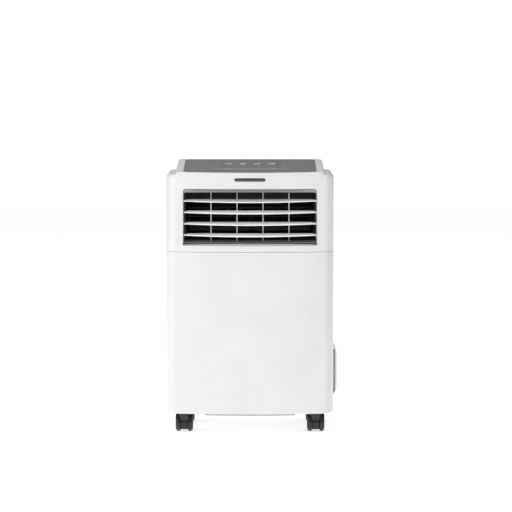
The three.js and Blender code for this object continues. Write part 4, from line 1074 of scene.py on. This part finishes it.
def base_pan():
    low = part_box("base_pan")[0]
    floor = low.z + WELL_DEPTH
    rings = [level_ring(HOUSING, WALL + 3 * MM, floor + WALL)]
    rings.append(level_ring(HOUSING, WALL + 3 * MM, floor + 16 * MM))
    rings.append(level_ring(HOUSING, WALL + 0.4 * MM, floor + 16 * MM))
    rings.append(level_ring(HOUSING, WALL + 0.4 * MM, floor + 1.2 * MM))
    rings.append(level_ring(HOUSING, WALL + 1.6 * MM, floor))
    made = skinned("base_pan_tray", rings, PAN_GREY)
    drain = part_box("drain_plug")
    notch_x = (drain[0].x + drain[1].x) / 2
    notch_z = (drain[0].z + drain[1].z) / 2
    boolean(made, cylinder("y", (notch_x, REAR, notch_z), 10.5 * MM, (-0.03, 0.01), 40))
    for caster in ("front_left", "front_right", "rear_left", "rear_right"):
        box_low, box_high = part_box(f"caster_wheels_{caster}")
        centre = (box_low + box_high) / 2
        at = (centre.x, centre.y - CASTER_TRAIL, 0)
        boolean(made, cylinder("z", at, 5.4 * MM, (floor - 0.01, floor + 0.02), 32))
    soften(made, 0.5 * MM)
    finish_piece(made, "housing", "pan_grey", "base_pan")
    well_half = 112 * MM
    ring = []
    for x in np.linspace(-well_half, well_half, 25):
        ring.append((x, FRONT + bow_at(x) + 5 * MM))
    back = REAR - 40 * MM
    ring += [(well_half, back), (-well_half, back)]
    ring = np.array(ring)
    rings = []
    for shrink, z in ((1.5, low.z), (0.4, low.z + 0.5 * MM), (0, low.z + 1.5 * MM), (0, floor + 0.6 * MM)):
        rings.append([(MID + x, y, z) for x, y in inset(ring, shrink * MM)])
    well = skinned("base_pan_well", rings, PAN_GREY)
    soften(well, 0)
    finish_piece(well, "housing", "pan_grey")


def exhaust_collar():
    low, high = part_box("exhaust_spigot")
    x = (low.x + high.x) / 2
    z = (low.z + high.z) / 2
    bore = 62 * MM
    outer = bore + 3.5 * MM
    start = low.y
    end = high.y
    profile = [
        (bore, start),
        (bore, end - 1 * MM),
        (bore + 1 * MM, end),
        (outer - 1 * MM, end),
        (outer, end - 1 * MM),
        (outer, start + 4 * MM),
        (outer + 4 * MM, start + 4 * MM),
        (outer + 4 * MM, start),
    ]
    rings = []
    for radius, y in profile:
        rings.append([(x + u, y, z + v) for u, v in round_ring(radius, 96)])
    made = skinned("exhaust_collar", rings, SHELL, closed=True)
    for k in range(3):
        a = math.radians(90 + 120 * k)
        cx, cz = x + (outer + 1 * MM) * math.cos(a), z + (outer + 1 * MM) * math.sin(a)
        lug = cylinder("y", (cx, 0, cz), 2.2 * MM, (REAR + 4 * MM, REAR + 8 * MM), 24)
        boolean(made, lug, "UNION")
    soften(made, 0.4 * MM)
    finish_piece(made, "housing", "shell_white", "exhaust_spigot")


def round_fittings():
    x, z = rear_hole("drain_plug")[:2]
    profile = [(0, -14), (7.4, -14), (8, -13), (8, 0.4), (12, 0.4)]
    profile += [(12, 2.6), (11, 3.5), (6, 3.5), (5, 2.6), (0, 2.6)]
    placed = [(r * MM, REAR + y * MM) for r, y in profile]
    plug = lathe("drain_plug_bung", "y", (x, 0, z), placed, RUBBER, 48)
    soften(plug, 0.3 * MM)
    finish_piece(plug, "drain_plug", "rubber", "drain_plug")
    x, z = rear_hole("cord_gland")[:2]
    profile = [(4, -14), (4, 4.2), (4.8, 5), (8, 5), (10.5, 3.4), (12, 1.6), (12, 0.4), (9, 0.4), (9, -14)]
    rings = [[(x + u, REAR + y * MM, z + v) for u, v in round_ring(r * MM, 48)] for r, y in profile]
    gland = skinned("cord_gland_ring", rings, BLACK, closed=True)
    soften(gland, 0.25 * MM)
    finish_piece(gland, "housing", "black_plastic", "cord_gland")


def cord_cleat():
    """A web against the side with a wider strap over it, its ends sloping in to the casing."""
    low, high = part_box("cord_cleat")
    inner, outer = low.x, high.x
    flange = 4.6 * MM
    bottom, top = low.z, high.z
    outline = [(inner, bottom)]
    foot = (outer, bottom + 19 * MM)
    head = (outer, top - 27 * MM)
    outline += quad_points((inner, bottom), (outer - 1 * MM, bottom + 8 * MM), foot, 9)[1:]
    outline += straight(foot, head, 5)[1:]
    outline += quad_points(head, (outer - 1 * MM, top - 10 * MM), (inner, top), 9)[1:]
    outline += [(inner, top - 5 * MM)]
    under = outer - flange
    outline += quad_points((inner, top - 6 * MM), (under, top - 16 * MM), (under, top - 30 * MM), 7)[1:]
    outline += quad_points(
        (under, bottom + 22 * MM), (under, bottom + 11 * MM), (inner, bottom + 5 * MM), 7
    )
    middle = (low.y + high.y) / 2
    wide = (high.y - low.y) / 2
    rings = []
    for y in (middle - wide, middle + wide):
        rings.append([(p[0], y, p[1]) for p in outline])
    strap = skinned("cord_cleat_strap", rings, CLEAT_LIT)
    soften(strap, 1.6 * MM, 4, 50)
    web = block(
        (inner, outer - flange + 0.5 * MM),
        (middle - wide / 2, middle + wide / 2),
        (bottom + 14 * MM, top - 18 * MM),
    )
    web.name = "cord_cleat_web"
    web.data.materials[0] = CLEAT_LIT
    soften(web, 1.2 * MM, 3)
    finish_piece(strap, "housing", "inner_plastic", "cord_cleat")
    finish_piece(web, "housing", "inner_plastic")


def screws():
    """Recessed cross-head screws that hold the rear casings."""
    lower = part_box("lower_intake_grille")
    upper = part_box("upper_intake_grille")
    spots = []
    for side in (-1, 1):
        spots.append((MID + side * 165 * MM, (lower[0].z + lower[1].z) / 2))
        spots.append((MID + side * 165 * MM, SEAM - 18 * MM))
        spots.append((MID + side * 165 * MM, (upper[0].z + upper[1].z) / 2))
    for i, (x, z) in enumerate(spots):
        profile = [(0, -1.2), (4.2, -1.2), (4.2, 0.2), (3.4, 0.9), (2, 1.25), (0, 1.3)]
        placed = [(r * MM, REAR + y * MM) for r, y in profile]
        head = lathe(f"casing_screw_{i + 1}", "y", (x, 0, z), placed, STEEL, 32)
        for turn in (0, math.pi / 2):
            bar = block((-2.4 * MM, 2.4 * MM), (REAR + 0.4 * MM, REAR + 3 * MM), (-0.5 * MM, 0.5 * MM))
            bar.data.transform(Matrix.Translation((x, 0, z)) @ Matrix.Rotation(turn + 0.4 * i, 4, "Y"))
            boolean(head, bar)
        soften(head, 0.12 * MM)
        finish_piece(head, "housing", "galvanised")


def carried_over():
    """Finishes for the CAD nodes that stay."""
    finishes = {
        SHELL: ["upper_intake_grille", "lower_intake_grille"],
        SCREEN: ["upper_filter", "lower_filter"],
        FINS: ["evaporator_coil", "condenser_coil"],
        ZINC: ["deck", "swing_motor", "blower_motor", "condenser_motor"],
        COPPER: ["suction_pipe", "discharge_pipe"],
        ENAMEL: ["compressor", "accumulator"],
        BOARD: ["control_board"],
        RUBBER: ["compressor_mounts"],
        DARK_INNER: ["blower_housing", "blower_wheel", "condenser_wheel", "louver_link", "vane_link"],
        GREY_INNER: ["condenser_scroll", "exhaust_duct", "evaporator_tray", "electrical_box"],
    }
    for material, names in finishes.items():
        for name in names:
            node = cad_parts[name]
            node.data.materials.clear()
            node.data.materials.append(material)
    for name in ("upper_intake_grille", "lower_intake_grille"):
        soften(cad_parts[name], 0.7 * MM, 2)


# ---------------------------------------------------------------- studio


def studio():
    reach = 9
    white = moulded("floor_white", (0.96, 0.96, 0.96), 0.7)
    glow = white.node_tree.nodes["Principled BSDF"].inputs
    glow["Emission Color"].default_value = (1, 1, 1, 1)
    glow["Emission Strength"].default_value = 0.62
    floor = from_data(
        "floor",
        [(-reach, -reach, 0), (reach, -reach, 0), (reach, reach, 0), (-reach, reach, 0)],
        [(0, 1, 2, 3)],
        white,
    )
    backdrop()
    area("front", (-0.6, -3.5, 3.3), (3.4, 1.8), 64)
    area("side", (-3.6, -0.6, 1.6), (2.0, 2.0), 36)
    area("top", (-0.2, -0.5, 3.6), (3.0, 2.4), 32)
    bpy.context.scene.view_settings.view_transform = "Standard"


def backdrop():
    """A white world to the eye, and a dimmer even light on the object."""
    world = bpy.data.worlds.new("studio")
    bpy.context.scene.world = world
    world.use_nodes = True
    tree = world.node_tree
    seen = tree.nodes.new("ShaderNodeLightPath").outputs["Is Camera Ray"]
    strength = tree.nodes.new("ShaderNodeMapRange")
    tree.links.new(seen, strength.inputs["Value"])
    strength.inputs["To Min"].default_value = 0.36
    strength.inputs["To Max"].default_value = 1.05
    background = tree.nodes["Background"]
    background.inputs["Color"].default_value = (1, 1, 1, 1)
    tree.links.new(strength.outputs["Result"], background.inputs["Strength"])


def area(name, place, size, power):
    light = bpy.data.lights.new(name, "AREA")
    light.shape = "RECTANGLE"
    light.size, light.size_y = size
    light.energy = power
    lamp = bpy.data.objects.new(name, light)
    bpy.context.scene.collection.objects.link(lamp)
    lamp.location = place
    aim = Vector((0, 0, 0.35)) - Vector(place)
    lamp.rotation_euler = aim.to_track_quat("-Z", "Y").to_euler()


def camera():
    data = bpy.data.cameras.new("view")
    eye = bpy.data.objects.new("view", data)
    bpy.context.scene.collection.objects.link(eye)
    focal_pixels = 2772
    image = 512
    data.sensor_width = 36
    data.lens = focal_pixels / image * data.sensor_width
    data.clip_end = 100
    distance = 6.755
    eye.location = (MID + 14.8 * MM, FRONT - distance, 0.9742)
    eye.rotation_euler = (math.radians(90 - 4.502), 0, 0)
    bpy.context.scene.camera = eye


camera()
front_panel()
rear_lower()
rear_upper()
front_fascia()
control_panel()
keys()
symbols()
receiver_lens()
outlet_frame()
louvers()
vanes()
casters()
base_pan()
exhaust_collar()
round_fittings()
cord_cleat()
screws()
carried_over()
studio()
